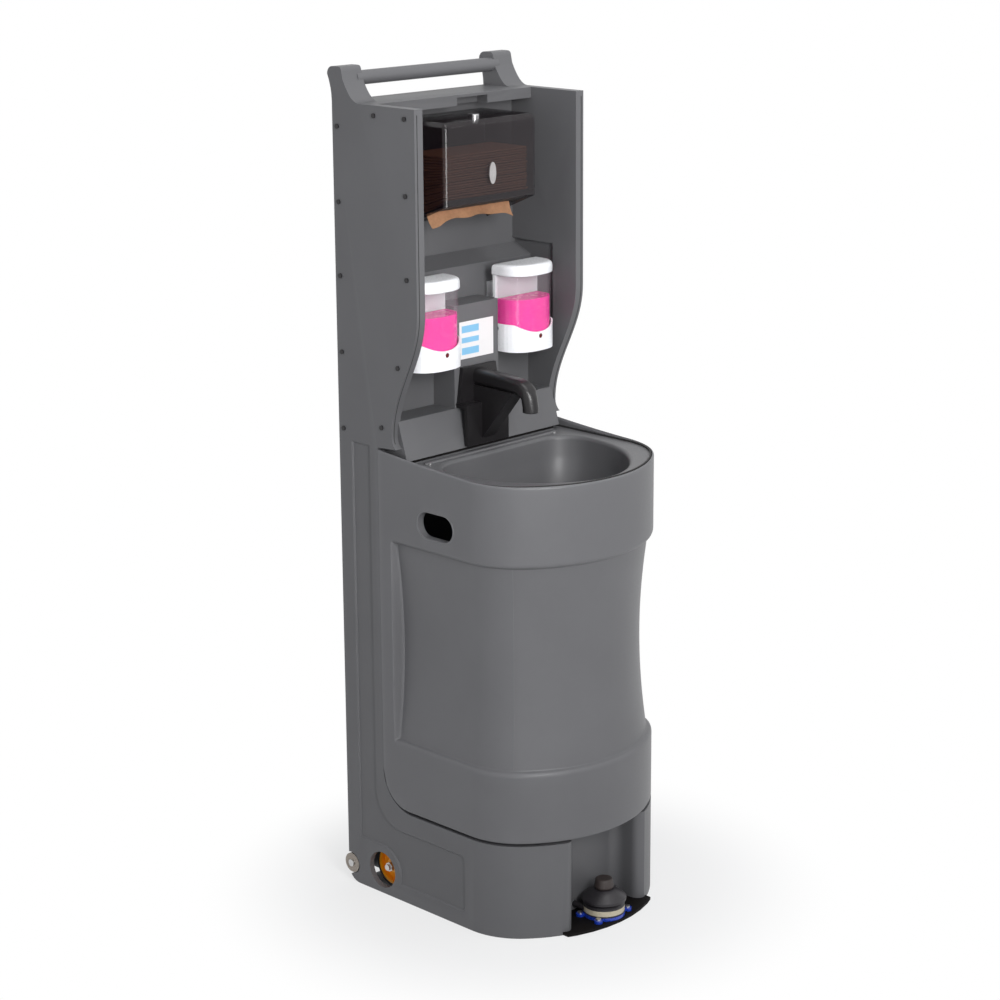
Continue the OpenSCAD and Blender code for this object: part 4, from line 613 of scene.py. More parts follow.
def station_outer():
    """Base, column, wings, roof, alcove and horns, with rounded edges."""
    plan = front_path(0) + [(HALF, BACK), (-HALF, BACK)]
    side = [(FRONT - OVER, 0), (FRONT - OVER, BASE)]
    side += arc((COL - FILLET, BASE + FILLET), FILLET, -90, 0, 16)
    side += [(COL, WING_LOW)] + wing_edge()[::-1] + [(WING, ROOF), (BACK, ROOF)]
    side += arc((BACK - REAR_R, REAR_R), REAR_R, 0, -90, 8)
    body = prism("station_body", plan, 0, ROOF, "z")
    boolean(body, prism("side", side, -HALF - OVER, HALF + OVER, "x"), "INTERSECT")
    alcove = [(FRONT - OVER, ALCOVE_Z), (COL, ALCOVE_Z), (COL, NICHE), (LOWER, NICHE)]
    alcove += [(LOWER, LEDGE - LEDGE_RISE), (UPPER, LEDGE + LEDGE_RISE), (UPPER, CEILING)]
    alcove += [(ROOF_Y, CEILING), (ROOF_Y, ROOF + OVER), (FRONT - OVER, ROOF + OVER)]
    cut(body, prism("alcove", alcove, -LINER_X, LINER_X, "x"))
    console = [(CONSOLE_Y, NICHE - LAP), (CONSOLE_Y, CONSOLE_Z)]
    console += [(LOWER + LAP, CONSOLE_Z), (LOWER + LAP, NICHE - LAP)]
    apron = [(APRON_Y, APRON_Z), (COL + LAP / 2, APRON_Z), (COL + LAP / 2, NICHE)]
    apron += [(APRON_Y + APRON_LEAN, NICHE)]
    join_with(body, prism("apron", apron, -APRON_HALF, APRON_HALF, "x"),
              prism("console", console, -CONSOLE_HALF, CONSOLE_HALF, "x"))
    for s in (-1, 1):
        join_with(body, prism("horn", horn_outline(), *span(s, HORN_IN, HALF), "x"))
    return round_edges(body, EDGE_R, 3, 26)


def carve_pockets(body):
    """A shallow pocket in each wing beside the soap dispenser."""
    pocket = [(POCKET_Y, POCKET_Z), (LOWER, POCKET_Z), (LOWER, LEDGE - LEDGE_RISE)]
    pocket += [(UPPER, LEDGE + LEDGE_RISE), (UPPER, POCKET_TOP), (POCKET_Y, POCKET_TOP)]
    for s in (-1, 1):
        cut(body, prism("pocket", pocket, *span(s, LINER_X - LAP / 2, LINER_X + POCKET_DEEP), "x"))


def carve_inside(body):
    """The hollow inside, but for the walls round the recess, the wheels and the rollers."""
    rear = [(HALF - WALL, BACK - WALL), (-HALF + WALL, BACK - WALL)]
    low = prism("low", front_path(WALL) + rear, -OVER, LOW_TOP, "z")
    side = [(FRONT - OVER, -2 * OVER), (FRONT - OVER, BASE - WALL)]
    side += arc((COL - FILLET, BASE + FILLET), FILLET + WALL, -90, 0, 14)
    side += [(COL + WALL, LOW_TOP + OVER), (BACK - WALL, LOW_TOP + OVER), (BACK - WALL, -2 * OVER)]
    boolean(low, prism("low_side", side, -HALF, HALF, "x"), "INTERSECT")
    for half, deep in ((RECESS_HALF + WALL, RECESS_BACK + WALL), (FLARE_HALF + FLARE_WALL, FLARE_BACK)):
        cut(low, box_mesh("recess_wall", (-half, FRONT - 2 * OVER, -3 * OVER), (half, deep, BASE + OVER)))
    for s in (-1, 1):
        cut(low, rod("collar", "x", WHEEL_HOLE, COLLAR_R, *span(s, *COLLAR_X)))
        a, b = span(s, *RIB_X)
        cut(low, box_mesh("rib", (a, RIB_Y, RIB_Z[0]), (b, BACK - 2 * WALL, RIB_Z[1])))
        a, b = span(s, *ROLLER_WALL_X)
        cut(low, box_mesh("roller_wall", (a, ROLLER_WALL_Y, ROLLER_WALL_Z), (b, BACK, REAR_LOW)))
    cut(body, low)
    cut(body, box_mesh("mid", (-HALF + WALL, LOWER + LAP, ALCOVE_Z), (HALF - WALL, BACK - WALL, LEDGE - 18)))
    cut(body, box_mesh("top", (-HIGH_HALF, UPPER + LAP, LEDGE - 20), (HIGH_HALF, BACK - WALL, HIGH_TOP)))
    cut(body, box_mesh("rear_way", (-HALF + WALL, BACK - 8, REAR_LOW), (HALF - WALL, BACK + OVER, ROOF - 15)))


def carve_recess(body):
    """The pump's recess, the room of its base plate and the holes for the hoses."""
    front_y = FRONT + BOW_R - math.sqrt(BOW_R ** 2 - FLARE_HALF ** 2)
    half = arc((FLARE_HALF, front_y + FLARE_R), FLARE_R, 270, 180, 6)
    half += arc((RECESS_HALF - RECESS_R, RECESS_BACK - RECESS_R), RECESS_R, 0, 90, 7)
    ahead = FRONT - 30
    recess = [(FLARE_HALF, ahead)] + half + [(-x, y) for x, y in half[::-1]] + [(-FLARE_HALF, ahead)]
    cut(body, prism("recess", recess, -OVER, BASE + OVER, "z"))
    cut(body, box_mesh("plate_room", (-PLATE_HALF, ahead, -OVER), (PLATE_HALF, PLATE_BACK, PLATE_Z)))
    through = (RECESS_BACK - WALL, RECESS_BACK + 2 * WALL)
    for x in (-HOSE_X, HOSE_X):
        cut(body, rod("hose_hole", "y", (x, HOSE_Z), HOSE_HOLE_R, *through, 20))
    cut(body, rod("shelf_hole", "z", SHELF_HOLE, SHELF_HOLE_R, BASE - 3 * WALL, BASE + 2 * WALL, 20))


def panel_outline():
    """Border of the sunk panel on a side: up the column, over the wheel and along the base."""
    arch = arc(WHEEL_HOLE, ARCH_R, 90, 196, 14)
    pts = [(PANEL_REAR, PANEL_HIGH), (PANEL_REAR, arch[0][1])] + arch
    pts += arc((PANEL_NOSE, arch[-1][1] + PANEL_R), PANEL_R, 270, 180, 4)
    pts += arc((PANEL_NOSE, PANEL_TOP - PANEL_R), PANEL_R, 180, 90, 4)
    pts += arc((PANEL_FRONT - PANEL_BEND, PANEL_TOP + PANEL_BEND), PANEL_BEND, -90, 0, 12)
    return pts + [(PANEL_FRONT, PANEL_HIGH)]


def carve_sides(body):
    """Wheel holes, rooms of the rollers and sunk panels."""
    panel = panel_outline()
    wider = offset_outline(panel, PANEL_DEEP + PANEL_PROUD)
    for s in (-1, 1):
        cut(body, rod("wheel_hole", "x", WHEEL_HOLE, WHEEL_HOLE_R, *span(s, WHEEL_HOLE_IN, HALF + WALL), 64))
        cut(body, rod("roller_room", "x", ROLLER, ROLLER_ROOM, *span(s, ROLLER_IN, HALF + WALL), 64))
        cut(body, tapered("panel", panel, s * (HALF - PANEL_DEEP), wider, s * (HALF + PANEL_PROUD)))


def station_body():
    """The whole moulding, which takes the place of the housing and the alcove's liner."""
    body = station_outer()
    carve_pockets(body)
    carve_inside(body)
    carve_recess(body)
    carve_sides(body)
    (x0, x1), (y0, y1) = NOTCH_X, NOTCH_Y
    cut(body, box_mesh("notch", (x0, y0, HIGH_TOP), (x1, y1, ROOF - WALL)))
    merge_flat(body, 0.3)
    finish_piece(body, "station", M["body"], ("housing", "alcove_liner"), 30)


station_body()


# Seam of the alcove moulding along the wings' front edges, drawn as a thin dark strip: painted shade of the
# groove between the mouldings
SEAM_IN = 208.4
SEAM_OUT = 209.6
SEAM_PROUD = 0.15
SEAM_DEEP = 3.0
for s, side in ((-1, "left"), (1, "right")):
    rings = []
    for y, z in [(WING, ROOF - 10)] + wing_edge()[:-3]:
        front, rear = y - 0.4 - SEAM_PROUD, y - 0.4 + SEAM_DEEP
        rings.append([(s * SEAM_IN, front, z), (s * SEAM_OUT, front, z),
                      (s * SEAM_OUT, rear, z), (s * SEAM_IN, rear, z)])
    gap_shade = tidy(new_object("lip_seam_" + side, *skin(rings)))
    finish_piece(gap_shade, "station", M["gap_shade"])

# Sink housing
COVER_REAR = COL - 0.5
COVER_LOW = BASE + 5
BAND_LOW, BAND_UP, RIM, FALL = 321.0, 704.0, 873.0, 20.0
HEEL_R = 72.0
WAIST_END = (115.5, 108.5)
HOLD_Z = 755.0
HOLD_YS = (-24.0, 18.0)
HOLD_R = 24.0
side_ys = [COVER_REAR, 138, 130, 123, 119, 117, 116, 115, 114, 113, 112, 111, 110, 108, 105, 100, 92]
side_ys += [92 - k * (92 + 86.5) / 18 for k in range(1, 18)]

# each row: height, how far the edge and how far the waist is drawn in; a step leads from band to waist
step = [(-11, 0), (-6.5, 0.5), (-3, 1.8), (-0.8, 4.0), (0.2, 6.6), (1.2, 9.2), (3.4, 10.8)]
rows = [(COVER_LOW + up, edge, 0) for up, edge in ((0, 3.0), (0.6, 1.4), (2.2, 0.4))]
rows += [(z, 0, 0) for z in (190, 215, 240, 262, 290)]
rows += [(BAND_LOW + up, 0, waist) for up, waist in step]
for k in range(1, 20):
    u = k / 20
    rows.append((BAND_LOW + 3.4 + (BAND_UP - BAND_LOW - 6.8) * u, 0, 10.4 + 14.0 * (1 - (2 * u - 1) ** 2)))
rows += [(BAND_UP - up, 0, waist) for up, waist in step[::-1]]
rows += [(z, 0, 0) for z in (740, 770, 800, 830, 855, 867.5)]
rows += [(RIM - down, edge, 0) for down, edge in ((2.5, 0.5), (0.8, 1.5), (0, 3.0))]


def sink_path(i):
    left = [(-HALF + i, y) for y in side_ys]
    right = [(HALF - i, y) for y in side_ys[::-1]]
    return left + front_path(i, 16, 26) + right


def rim_at(y):
    """Height of the rim, which falls towards the front."""
    return RIM - FALL + FALL * max(0.0, (y - FRONT) / (COVER_REAR - FRONT)) ** 2


def smooth(a, b, x):
    t = min(1.0, max(0.0, (x - a) / (b - a)))
    return t * t * (3 - 2 * t)


def sink_height(y, z):
    """The row's height at y: over the round heel at the rear, and under the falling rim."""
    if z < 300 and y > COVER_REAR - HEEL_R:
        return max(z, COVER_LOW + HEEL_R - math.sqrt(max(0.0, HEEL_R ** 2 - (y - COVER_REAR + HEEL_R) ** 2)))
    if z > BAND_UP:
        return BAND_UP + (z - BAND_UP) * (rim_at(y) - BAND_UP) / (RIM - BAND_UP)
    return z


def sink_row(z, edge, waist):
    drawn = {}
    ring = []
    for j, (_, y0) in enumerate(sink_path(0)):
        i = edge + waist * (smooth(*WAIST_END, y0) if y0 > 90 else 1.0)
        key = round(i, 3)
        if key not in drawn:
            drawn[key] = sink_path(i)
        x, y = drawn[key][j]
        ring.append((x, y, sink_height(y0, z)))
    return ring


def hold_outline(r, n):
    return arc((HOLD_YS[0], HOLD_Z), r, 90, 270, n) + arc((HOLD_YS[1], HOLD_Z), r, -90, 90, n)


def sink_housing():
    sink = tidy(new_object("sink_housing", *skin([sink_row(*row) for row in rows], closed=False)), 0.01)
    front_most = min(sink.data.polygons, key=lambda p: p.center.y)
    if front_most.normal.y > 0:
        sink.data.flip_normals()
    thicken(sink, WALL, even=True)
    for s in (-1, 1):
        cut(sink, prism("hold", hold_outline(HOLD_R, 12), *span(s, HALF - 30, HALF + 10), "x"))
    finish_piece(sink, "cabinet", M["sink"], ("cabinet_shell",), 34)


def hold_edge(s, side):
    """Rolled edge and short sleeve round a hand hold; the section is (along x, outwards)."""
    section = [(-14.0, -1.0), (-14.0, 1.2), (-3.0, 1.4), (-1.2, 2.6)]
    section += [(0.3, 2.2), (0.8, 0.8), (0.3, -0.6), (-1.4, -1.2)]
    r = HOLD_R + 1
    rings = []
    for k, (y, z) in enumerate(hold_outline(r, 14)):
        out_y = (y - HOLD_YS[0 if k <= 14 else 1]) / r
        out_z = (z - HOLD_Z) / r
        rings.append([(s * (HALF + dx), y + out_y * dr, z + out_z * dr) for dx, dr in section])
    rolled = tidy(new_object("hold_edge_" + side, *skin(rings + rings[:1])))
    finish_piece(rolled, "cabinet", M["sink"], (), 60)


def parting_line(place=47):
    """Thin raised line down the waist, at one point of the housing's path."""
    rings = []
    for z, _, waist in rows:
        if not BAND_LOW + 3 < z < BAND_UP - 3:
            continue
        (x0, y0), (x1, y1) = sink_path(waist)[place:place + 2]
        along = Vector((x1 - x0, y1 - y0)).normalized()
        out = Vector((along.y, -along.x))
        if out.y > 0:
            out = -out
        rings.append([(x0 + along.x * step + out.x * proud, y0 + along.y * step + out.y * proud, z)
                      for step, proud in ((-1.1, -0.4), (-0.3, 0.45), (0.3, 0.45), (1.1, -0.4))])
    parting = tidy(new_object("parting_line", *skin(rings, ends=True)))
    finish_piece(parting, "cabinet", M["sink"], (), 60)


sink_housing()
hold_edge(-1, "left")
hold_edge(1, "right")
parting_line()

# Basin: deck and bowl in one skin
DECK = 851.0
BOWL_W, BOWL_L, BOWL_R, DEPTH = 356.0, 277.0, 62.0, 152.0
BOWL_Y1 = FRONT + 24 + BOWL_L
BOWL_Y = BOWL_Y1 - BOWL_L / 2
BOWL_LIP = 9.0
BOWL_FLAT = 0.28
DRAIN_R = 20.0
RIM_GAP = 5.3


def bowl_outline():
    pts = arc((-BOWL_W / 2 + BOWL_R, BOWL_Y1 - BOWL_R), BOWL_R, 90, 180, 9)
    for x, y in front_path(0):
        back = (FRONT + CORNER_BACK - y) * (BOWL_L - BOWL_R) / CORNER_BACK
        pts.append((x * BOWL_W / (2 * HALF), BOWL_Y1 - BOWL_R - back))
    return pts + arc((BOWL_W / 2 - BOWL_R, BOWL_Y1 - BOWL_R), BOWL_R, 0, 90, 9)


def by_angle(pts, count=144):
    """The outline's points met by rays from the bowl's middle."""
    out = []
    n = len(pts)
    for k in range(count):
        a = 2 * math.pi * k / count
        dx, dy = math.cos(a), math.sin(a)
        best = None
        for j in range(n):
            (x1, y1), (x2, y2) = pts[j], pts[(j + 1) % n]
            ex, ey = x2 - x1, y2 - y1
            den = dx * ey - dy * ex
            if abs(den) < 1e-9:
                continue
            t = (x1 * ey - (y1 - BOWL_Y) * ex) / den
            u = (x1 * dy - (y1 - BOWL_Y) * dx) / den
            if t > 0 and -1e-6 <= u <= 1 + 1e-6 and (best is None or t > best):
                best = t
        out.append((dx * best, dy * best))
    return out


def basin_rings():
    """Rings about the bowl's middle: deck, rounded lip, bowl, floor and drain."""
    deck = front_path(RIM_GAP) + [(HALF - RIM_GAP, COVER_REAR - 5), (-HALF + RIM_GAP, COVER_REAR - 5)]
    bowl = by_angle(bowl_outline())
    rings = [[(x, y, DECK) for x, y in by_angle(deck)]]
    for a in (0, 20, 40, 60, 78):
        a = math.radians(a)
        ring = []
        for x, y in bowl:
            r = math.hypot(x, y)
            k = (r + BOWL_LIP * (1 - math.sin(a))) / r
            ring.append((x * k, y * k, DECK - BOWL_LIP * (1 - math.cos(a))))
        rings.append(ring)
    shoulder = BOWL_LIP * 0.7
    for j in range(1, 15):
        a = math.radians(5 + 85 * j / 14)
        k = BOWL_FLAT + (1 - BOWL_FLAT) * math.cos(a)
        z = DECK - shoulder - (DEPTH - shoulder) * math.sin(a)
        rings.append([(x * k, y * k, z) for x, y in bowl])
    last = rings[-1]
    for k in (0.75, 0.5):
        rings.append([(x * k, y * k, z - 0.4) for x, y, z in last])
    drain = []
    for x, y, z in last:
        k = DRAIN_R / math.hypot(x, y)
        drain.append((x * k, y * k, z - 0.6))
    return rings + [drain]


def basin_skin():
    rings = [[(x, y + BOWL_Y, z) for x, y, z in ring] for ring in basin_rings()]
    basin = tidy(new_object("basin_skin", *skin(rings)))
    if max(basin.data.polygons, key=lambda p: p.area).normal.z < 0:
        basin.data.flip_normals()
    thicken(basin, 3.5)
    finish_piece(basin, "cabinet", M["bowl"], ("basin",), 50)


def deck_gap_shade():
    """Dark strip where the deck meets the rim: painted shade of the gap between them."""
    lines = []
    for i, up in ((5.2, 0.3), (5.2, 3.4), (7.4, 3.4), (7.4, 0.3)):
        left = [(-HALF + i, COVER_REAR - 8), (-HALF + i, 30)]
        right = [(HALF - i, 30), (HALF - i, COVER_REAR - 8)]
        lines.append([(x, y, DECK + up) for x, y in left + front_path(i) + right])
    joint = tidy(new_object("deck_gap_shade", *skin([list(ring) for ring in zip(*lines)], ends=True)))
    finish_piece(joint, "cabinet", M["gap_shade"], (), 40)


def deck_ridge(k, half, y, h):
    """Low ridge across the deck behind the bowl."""
    section = [(y, DECK - 1), (y + 2, DECK + h), (y + 7, DECK + h), (y + 10, DECK - 1)]
    ridge = prism("deck_ridge_" + str(k), section, -half, half, "x")
    round_edges(ridge, 1.6, 3, 20)
    finish_piece(ridge, "cabinet", M["bowl"], (), 40)


basin_skin()
deck_gap_shade()
deck_ridge(0, 172, 62, 3.0)
deck_ridge(1, 186, 84, 2.2)

# Towel dispenser
T_D = 134.0
T_Y1 = UPPER - 8
T_Y0 = T_Y1 - T_D
T_Z, T_LOW, T_SLOPE = 1463.0, 1314.0, 55.0
T_HALF = 118.0
SHEET_W = 212.0


def tray_z(y):
    return T_LOW + 3 - (T_SLOPE - 6) * (y - T_Y0) / T_D


def towel_cover():
    foot = T_LOW - T_SLOPE
    outline = [(T_Y0, T_Z), (T_Y1, T_Z), (T_Y1, foot + 6), (T_Y1 - 4, foot), (T_Y0, T_LOW)]
    cover = prism("towel_cover_skin", outline, -T_HALF, T_HALF, "x")
    bm = bmesh.new()
    bm.from_mesh(cover.data)
    low = (T_LOW + 16) * MM
    gone = [f for f in bm.faces if f.normal.y > 0.8 or (f.normal.z < -0.3 and f.calc_center_median().z < low)]
    bmesh.ops.delete(bm, geom=gone, context="FACES")
    bm.to_mesh(cover.data)
    bm.free()
    bevel(cover, 7.5, 1, 30)
    bevel(cover, 1.6, 2, 30)
    thicken(cover, 3)
    finish_piece(cover, "towel_door", M["smoke"], ("towel_cover",), 30)


def towels_folded(count=20):
    """A pile of folded sheets on the sloping tray, each a little out of line."""
    half = SHEET_W / 2
    front = T_Y0 + 14
    top = T_Z - 60
    low_front, low_rear = tray_z(front) + 3.4, tray_z(front + 100) + 3.4
    verts, faces = [], []
    for k in range(count):
        jitter = 1.6 * math.sin(k * 2.3) + 0.8 * math.sin(k * 5.1)
        a = len(verts)
        for x in (-half + 0.8 * math.sin(k * 1.7), half + 0.8 * math.cos(k * 2.9)):
            for y, low in ((front + 1.5 + jitter, low_front), (front + 98 + jitter, low_rear)):
                for share in (k / count, (k + 0.82) / count):
                    verts.append((x, y, low + (top - low) * share))
        faces += [(a, a + 1, a + 3, a + 2), (a + 4, a + 6, a + 7, a + 5), (a, a + 4, a + 5, a + 1),
                  (a + 2, a + 3, a + 7, a + 6), (a + 1, a + 5, a + 7, a + 3), (a, a + 2, a + 6, a + 4)]
    stack = tidy(new_object("towels_folded", verts, faces))
    bevel(stack, 1.2, 2, 30)
    finish_piece(stack, "station", M["towel"], ("towel_stack",), 40)


def towel_hanging(across=60, down=12):
    """The end of a sheet that hangs out of the slot in slack folds."""
    sheet_y = T_Y0 + T_D / 2 - 4
    rings = []
    for r in range(down + 1):
        t = r / down
        ring = []
        for k in range(across + 1):
            u = k / across
            drop = 15 + 12 * abs(2 * u - 1) ** 3 + 1.8 * math.sin(6 * math.pi * u)
            fold = 3 + 1.5 * math.sin(4 * math.pi * u + 0.7)
            wave = 1.4 * math.sin(10 * math.pi * u + 3 * t) * t
            x = SHEET_W * (u - 0.5) * (1 - 0.02 * t)
            y = sheet_y - fold * math.sin(t * 1.57) - (fold + 6) * t * t + wave
            ring.append((x, y, tray_z(sheet_y) + 2.5 - drop * t))
        rings.append(ring)
    hang = new_object("towel_hanging", *skin(rings, closed=False))
    thicken(hang, 0.6, side=0)
    finish_piece(hang, "station", M["sheet"], ("hanging_towel",), 60)


towel_cover()
towels_folded()
towel_hanging()

# Lids of the soap dispensers
S_X = 121.5
S_Y1 = LOWER - 35
S_W, S_D, S_Z, S_H, LID_H = 118.0, 70.0, 1019.0, 164.0, 21.0
S_BLOCK = 20.0
LID_Z = S_Z + S_H - LID_H


def soap_plan(i, n=32):
    """Plan of a dispenser, i millimetres in: square at the rear, rounded in front."""
    half = S_W / 2 - i
    pts = [(half, S_Y1 - i), (-half, S_Y1 - i)]
    for k in range(n + 1):
        a = math.pi * k / n
        c = math.cos(a)
        front = (S_D - S_BLOCK - i) * math.sin(a) ** 0.8
        pts.append((-half * math.copysign(abs(c) ** 0.8, c), S_Y1 - S_BLOCK - front))
    return pts


def soap_lid(side, sx):
    levels = [(1.2, 0.0), (0.3, 0.8), (0.0, 2.2), (0.0, 12.0), (0.6, 15.5)]
    levels += [(2.0, 18.2), (4.2, 20.0), (7.5, 20.9), (12.0, LID_H)]
    rings = [[(x + sx, y, LID_Z + up) for x, y in soap_plan(i)] for i, up in levels]
    lid = tidy(new_object("lid_" + side, *skin(rings, ends=True)), 0.01)
    finish_piece(lid, "soap_cap_" + side, M["white"], ("soap_lid_" + side,), 40)


soap_lid("left", -S_X)
soap_lid("right", S_X)

# Spout arm: rounded section swept over a soft elbow
SPOUT_Y = CONSOLE_Y - 140
ARM_LOW = 970.0
ELBOW_Y = -2.0
ELBOW_Z = 980.2
ELBOW_R = (30.0, 26.0)
ELBOW_TURN = 86


def spout_stations():
    """Along the arm: y, z, tilt in degrees, half width and half height."""
    stations = [(CONSOLE_Y - 8.5, 984, 0, 17, 15.0), (80, 983.5, 0, 16.6, 14.6), (50, 982.5, 1, 16.4, 14.2)]
    stations += [(20, 981.2, 2, 16.2, 13.8), (ELBOW_Y, ELBOW_Z, 4, 16.0, 13.6)]
    for k in range(1, 9):
        turn = ELBOW_TURN * k / 8
        a = math.radians(turn)
        stations.append((ELBOW_Y - ELBOW_R[0] * math.sin(a), ELBOW_Z - ELBOW_R[1] * (1 - math.cos(a)),
                         4 + turn, 16.0 - 0.6 * k / 8, 13.6 + 1.2 * k / 8))
    ends = ((26, 15.0), (34.2, 15.0), (35, 14.2))
    return stations + [(SPOUT_Y, ARM_LOW - down, 90, r, r) for down, r in ends]


def spout_arm(around_n=40):
    rings = []
    for y, z, tilt, w, h in spout_stations():
        t = math.radians(tilt)
        square = 0.62 if tilt < 60 else 1.0
        ring = []
        for q in range(around_n):
            u = 2 * math.pi * q / around_n
            cx = math.copysign(abs(math.cos(u)) ** square, math.cos(u)) * w
            cz = math.copysign(abs(math.sin(u)) ** square, math.sin(u)) * h
            ring.append((cx, y - math.sin(t) * cz, z + math.cos(t) * cz))
        rings.append(ring)
    arm = tidy(new_object("spout_arm_swept", *skin(rings, ends=True)))
    cut(arm, rod("bore", "z", (0, SPOUT_Y), 11, ARM_LOW - 40, ARM_LOW - 22, 40))
    finish_piece(arm, "station", M["black"], ("spout_arm",), 40)


spout_arm()

# Softened copies of CAD pieces
PUMP_Y = FRONT + 30
CREAM_BAND = (15.0, 25.0)
CREAM_R = 39.6


def softened(node, edge, segments, body, key, degrees):
    soft_copy = copy_node(node, node + "_soft", edge, segments)
    finish_piece(soft_copy, body, M[key], (node,), degrees)


def pump_ring():
    """The ring, cream in the band between two heights and rubber above and below."""
    ring = copy_node("pump_ring", "pump_ring_banded")
    bm = bmesh.new()
    bm.from_mesh(ring.data)
    for level in CREAM_BAND:
        bmesh.ops.bisect_plane(bm, geom=bm.verts[:] + bm.edges[:] + bm.faces[:], dist=0.00001,
                               plane_co=(0, 0, level * MM), plane_no=(0, 0, 1))
    bm.to_mesh(ring.data)
    bm.free()
    finish_piece(ring, "station", M["cream"], ("pump_ring",), 35)
    ring.data.materials.append(M["dome"])
    for f in ring.data.polygons:
        c = f.center / MM
        banded = CREAM_BAND[0] < c.z < CREAM_BAND[1] and math.hypot(c.x, c.y - PUMP_Y) < CREAM_R
        f.material_index = 0 if banded else 1


softened("spout_bracket", 2.0, 2, "station", "black", 35)
softened("pump_bracket", 0.8, 2, "station", "blue", 35)
softened("base_plate", 1.2, 2, "station", "rubber", 35)
label = copy_node("label_plate", "label_soft", 0.3)
finish_piece(label, "station", M["label"], ("label_plate",), 35)
pump_ring()
softened("pump_knob", 1.5, 3, "plunger", "knob", 40)
softened("handle_bar", 0.0, 2, "station", "body", 40)

# Plain pale-blue blocks on the white sticker
LABEL_LOW = CONSOLE_Z - 102
BLOCK_X = (-38.0, 6.0)
for k, (z0, z1) in enumerate(((49, 62), (30, 40), (8, 21))):
    block = box_mesh("label_block_" + str(k), (BLOCK_X[0], CONSOLE_Y - 1.05, LABEL_LOW + z0),
                     (BLOCK_X[1], CONSOLE_Y - 0.7, LABEL_LOW + z1))
    finish_piece(block, "station", M["pale"])


# Floor: lit near the station, white further out, dark under the base
FLOOR_REACH = 20000
BASE_SPAN = (("X", 0.0, 0.198), ("Y", 0.062, 0.172))


def any_of(tree, source, *names):
    """1 where any of the named ray kinds holds."""
    socket = source.outputs[names[0]]
    for name in names[1:]:
        socket = math_node(tree, "MAXIMUM", socket, source.outputs[name])
    return socket


def open_floor(nt):
    """0 under the base, rising to 1 away from the station."""
    place = nt.nodes.new("ShaderNodeTexCoord")
    reach = nt.nodes.new("ShaderNodeVectorMath")
    reach.operation = "LENGTH"
    nt.links.new(place.outputs["Object"], reach.inputs[0])
    fade = nt.nodes.new("ShaderNodeMapRange")
    fade.interpolation_type = "SMOOTHSTEP"
    fade.inputs["From Min"].default_value = 0.30
    fade.inputs["From Max"].default_value = 0.62
    fade.inputs["To Min"].default_value = 0.66
    fade.inputs["To Max"].default_value = 1.0
    nt.links.new(reach.outputs["Value"], fade.inputs["Value"])
    split = nt.nodes.new("ShaderNodeSeparateXYZ")
    nt.links.new(place.outputs["Object"], split.inputs[0])
    beyond = []
    for axis, centre, half in BASE_SPAN:
        size = math_node(nt, "ABSOLUTE", math_node(nt, "SUBTRACT", split.outputs[axis], centre))
        beyond.append(math_node(nt, "GREATER_THAN", size, half))
    return math_node(nt, "MULTIPLY", fade.outputs["Result"], math_node(nt, "MAXIMUM", *beyond))


def floor_material():
    mat = bpy.data.materials.new("floor_pale")
    nt, bsdf = nodes_of(mat)
    noise = add_noise(nt, 3.0, 2.0, 0.5)
    tone = ramp(nt, noise.outputs["Fac"], [(0.3, grey(0.79)), (0.7, grey(0.81))])
    nt.links.new(tone.outputs["Color"], bsdf.inputs["Base Color"])
    bsdf.inputs["Roughness"].default_value = 0.8
    bsdf.inputs["Specular IOR Level"].default_value = 0.0
    glow = nt.nodes.new("ShaderNodeEmission")
    glow.inputs["Color"].default_value = (1, 1, 1, 1)
    glow.inputs["Strength"].default_value = 1.0
    rays = nt.nodes.new("ShaderNodeLightPath")
    seen_by = any_of(nt, rays, "Is Camera Ray", "Is Glossy Ray", "Is Transmission Ray")
    blend = nt.nodes.new("ShaderNodeMixShader")
    nt.links.new(math_node(nt, "MULTIPLY", seen_by, open_floor(nt)), blend.inputs[0])
    nt.links.new(bsdf.outputs[0], blend.inputs[1])
    nt.links.new(glow.outputs[0], blend.inputs[2])
    nt.links.new(blend.outputs[0], nt.nodes["Material Output"].inputs[0])
    return mat


corners = [(x * FLOOR_REACH, y * FLOOR_REACH, -0.3) for x, y in ((-1, -1), (1, -1), (1, 1), (-1, 1))]
floor = new_object("floor", corners, [(0, 1, 2, 3)])
floor.data.materials.append(floor_material())


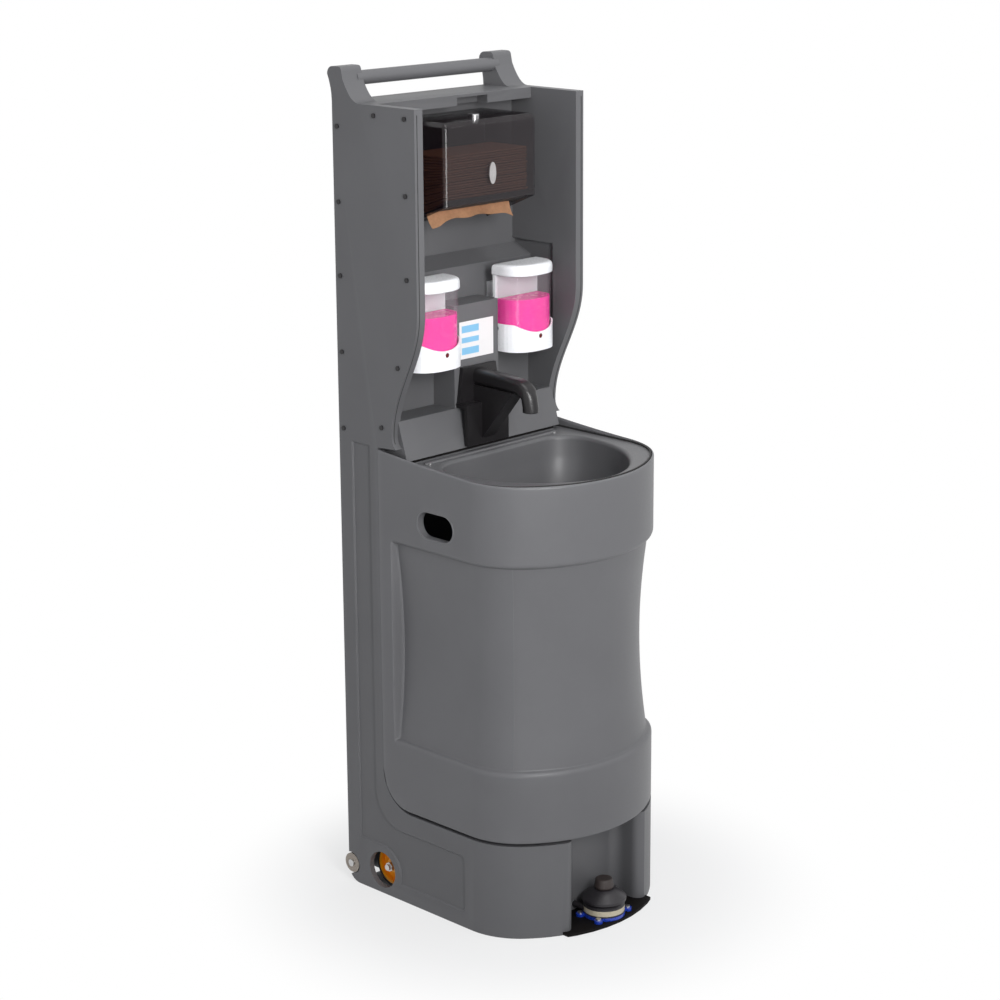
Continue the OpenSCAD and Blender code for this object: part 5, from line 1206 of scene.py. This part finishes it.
# Lamps
def area(name, loc, target, size, power, size_y=None, spread=180):
    d = bpy.data.lights.new(name, "AREA")
    d.spread = math.radians(spread)
    d.energy = power
    d.size = size
    if size_y:
        d.shape = "RECTANGLE"
        d.size_y = size_y
    o = bpy.data.objects.new(name, d)
    o.location = loc
    o.rotation_mode = "QUATERNION"
    o.rotation_quaternion = (Vector(target) - Vector(loc)).to_track_quat("-Z", "Y")
    o.visible_camera = False
    bpy.context.scene.collection.objects.link(o)
    return o


area("key", (-1.6, -3.7, 2.7), (0, 0, 1.15), 1.5, 4.0, size_y=2.2, spread=60)
area("fill", (3.0, -2.7, 2.7), (0, 0, 1.0), 0.9, 2.4, size_y=1.6, spread=120)
area("side", (-3.7, -0.2, 1.9), (0, 0, 0.9), 0.7, 3.3, size_y=2.6)
area("top", (0, -0.8, 4.0), (0, 0, 0.9), 2.0, 37.4)
area("alcove", (-1.2, -2.6, 1.9), (0, 0.1, 1.3), 0.7, 10.0, size_y=1.2, spread=70)
area("strip", (-2.62, -2.56, 0.55), (0, 0.05, 1.39), 0.2, 5.5, size_y=1.1)


# Surroundings: soft light for the object, plain white for the camera and in reflections
def background(tree, color, strength):
    node = tree.nodes.new("ShaderNodeBackground")
    node.inputs["Color"].default_value = (*color, 1)
    node.inputs["Strength"].default_value = strength
    return node


world = bpy.data.worlds.new("world")
bpy.context.scene.world = world
world.use_nodes = True
tree = world.node_tree
tree.nodes.clear()
out = tree.nodes.new("ShaderNodeOutputWorld")
soft = background(tree, (0.93, 0.95, 1.0), 0.44)
white = background(tree, (1, 1, 1), 1.0)
rays = tree.nodes.new("ShaderNodeLightPath")
mix = tree.nodes.new("ShaderNodeMixShader")
tree.links.new(any_of(tree, rays, "Is Camera Ray", "Is Glossy Ray", "Is Transmission Ray"), mix.inputs[0])
tree.links.new(soft.outputs[0], mix.inputs[1])
tree.links.new(white.outputs[0], mix.inputs[2])
tree.links.new(mix.outputs[0], out.inputs[0])
bpy.context.scene.view_settings.view_transform = "Standard"
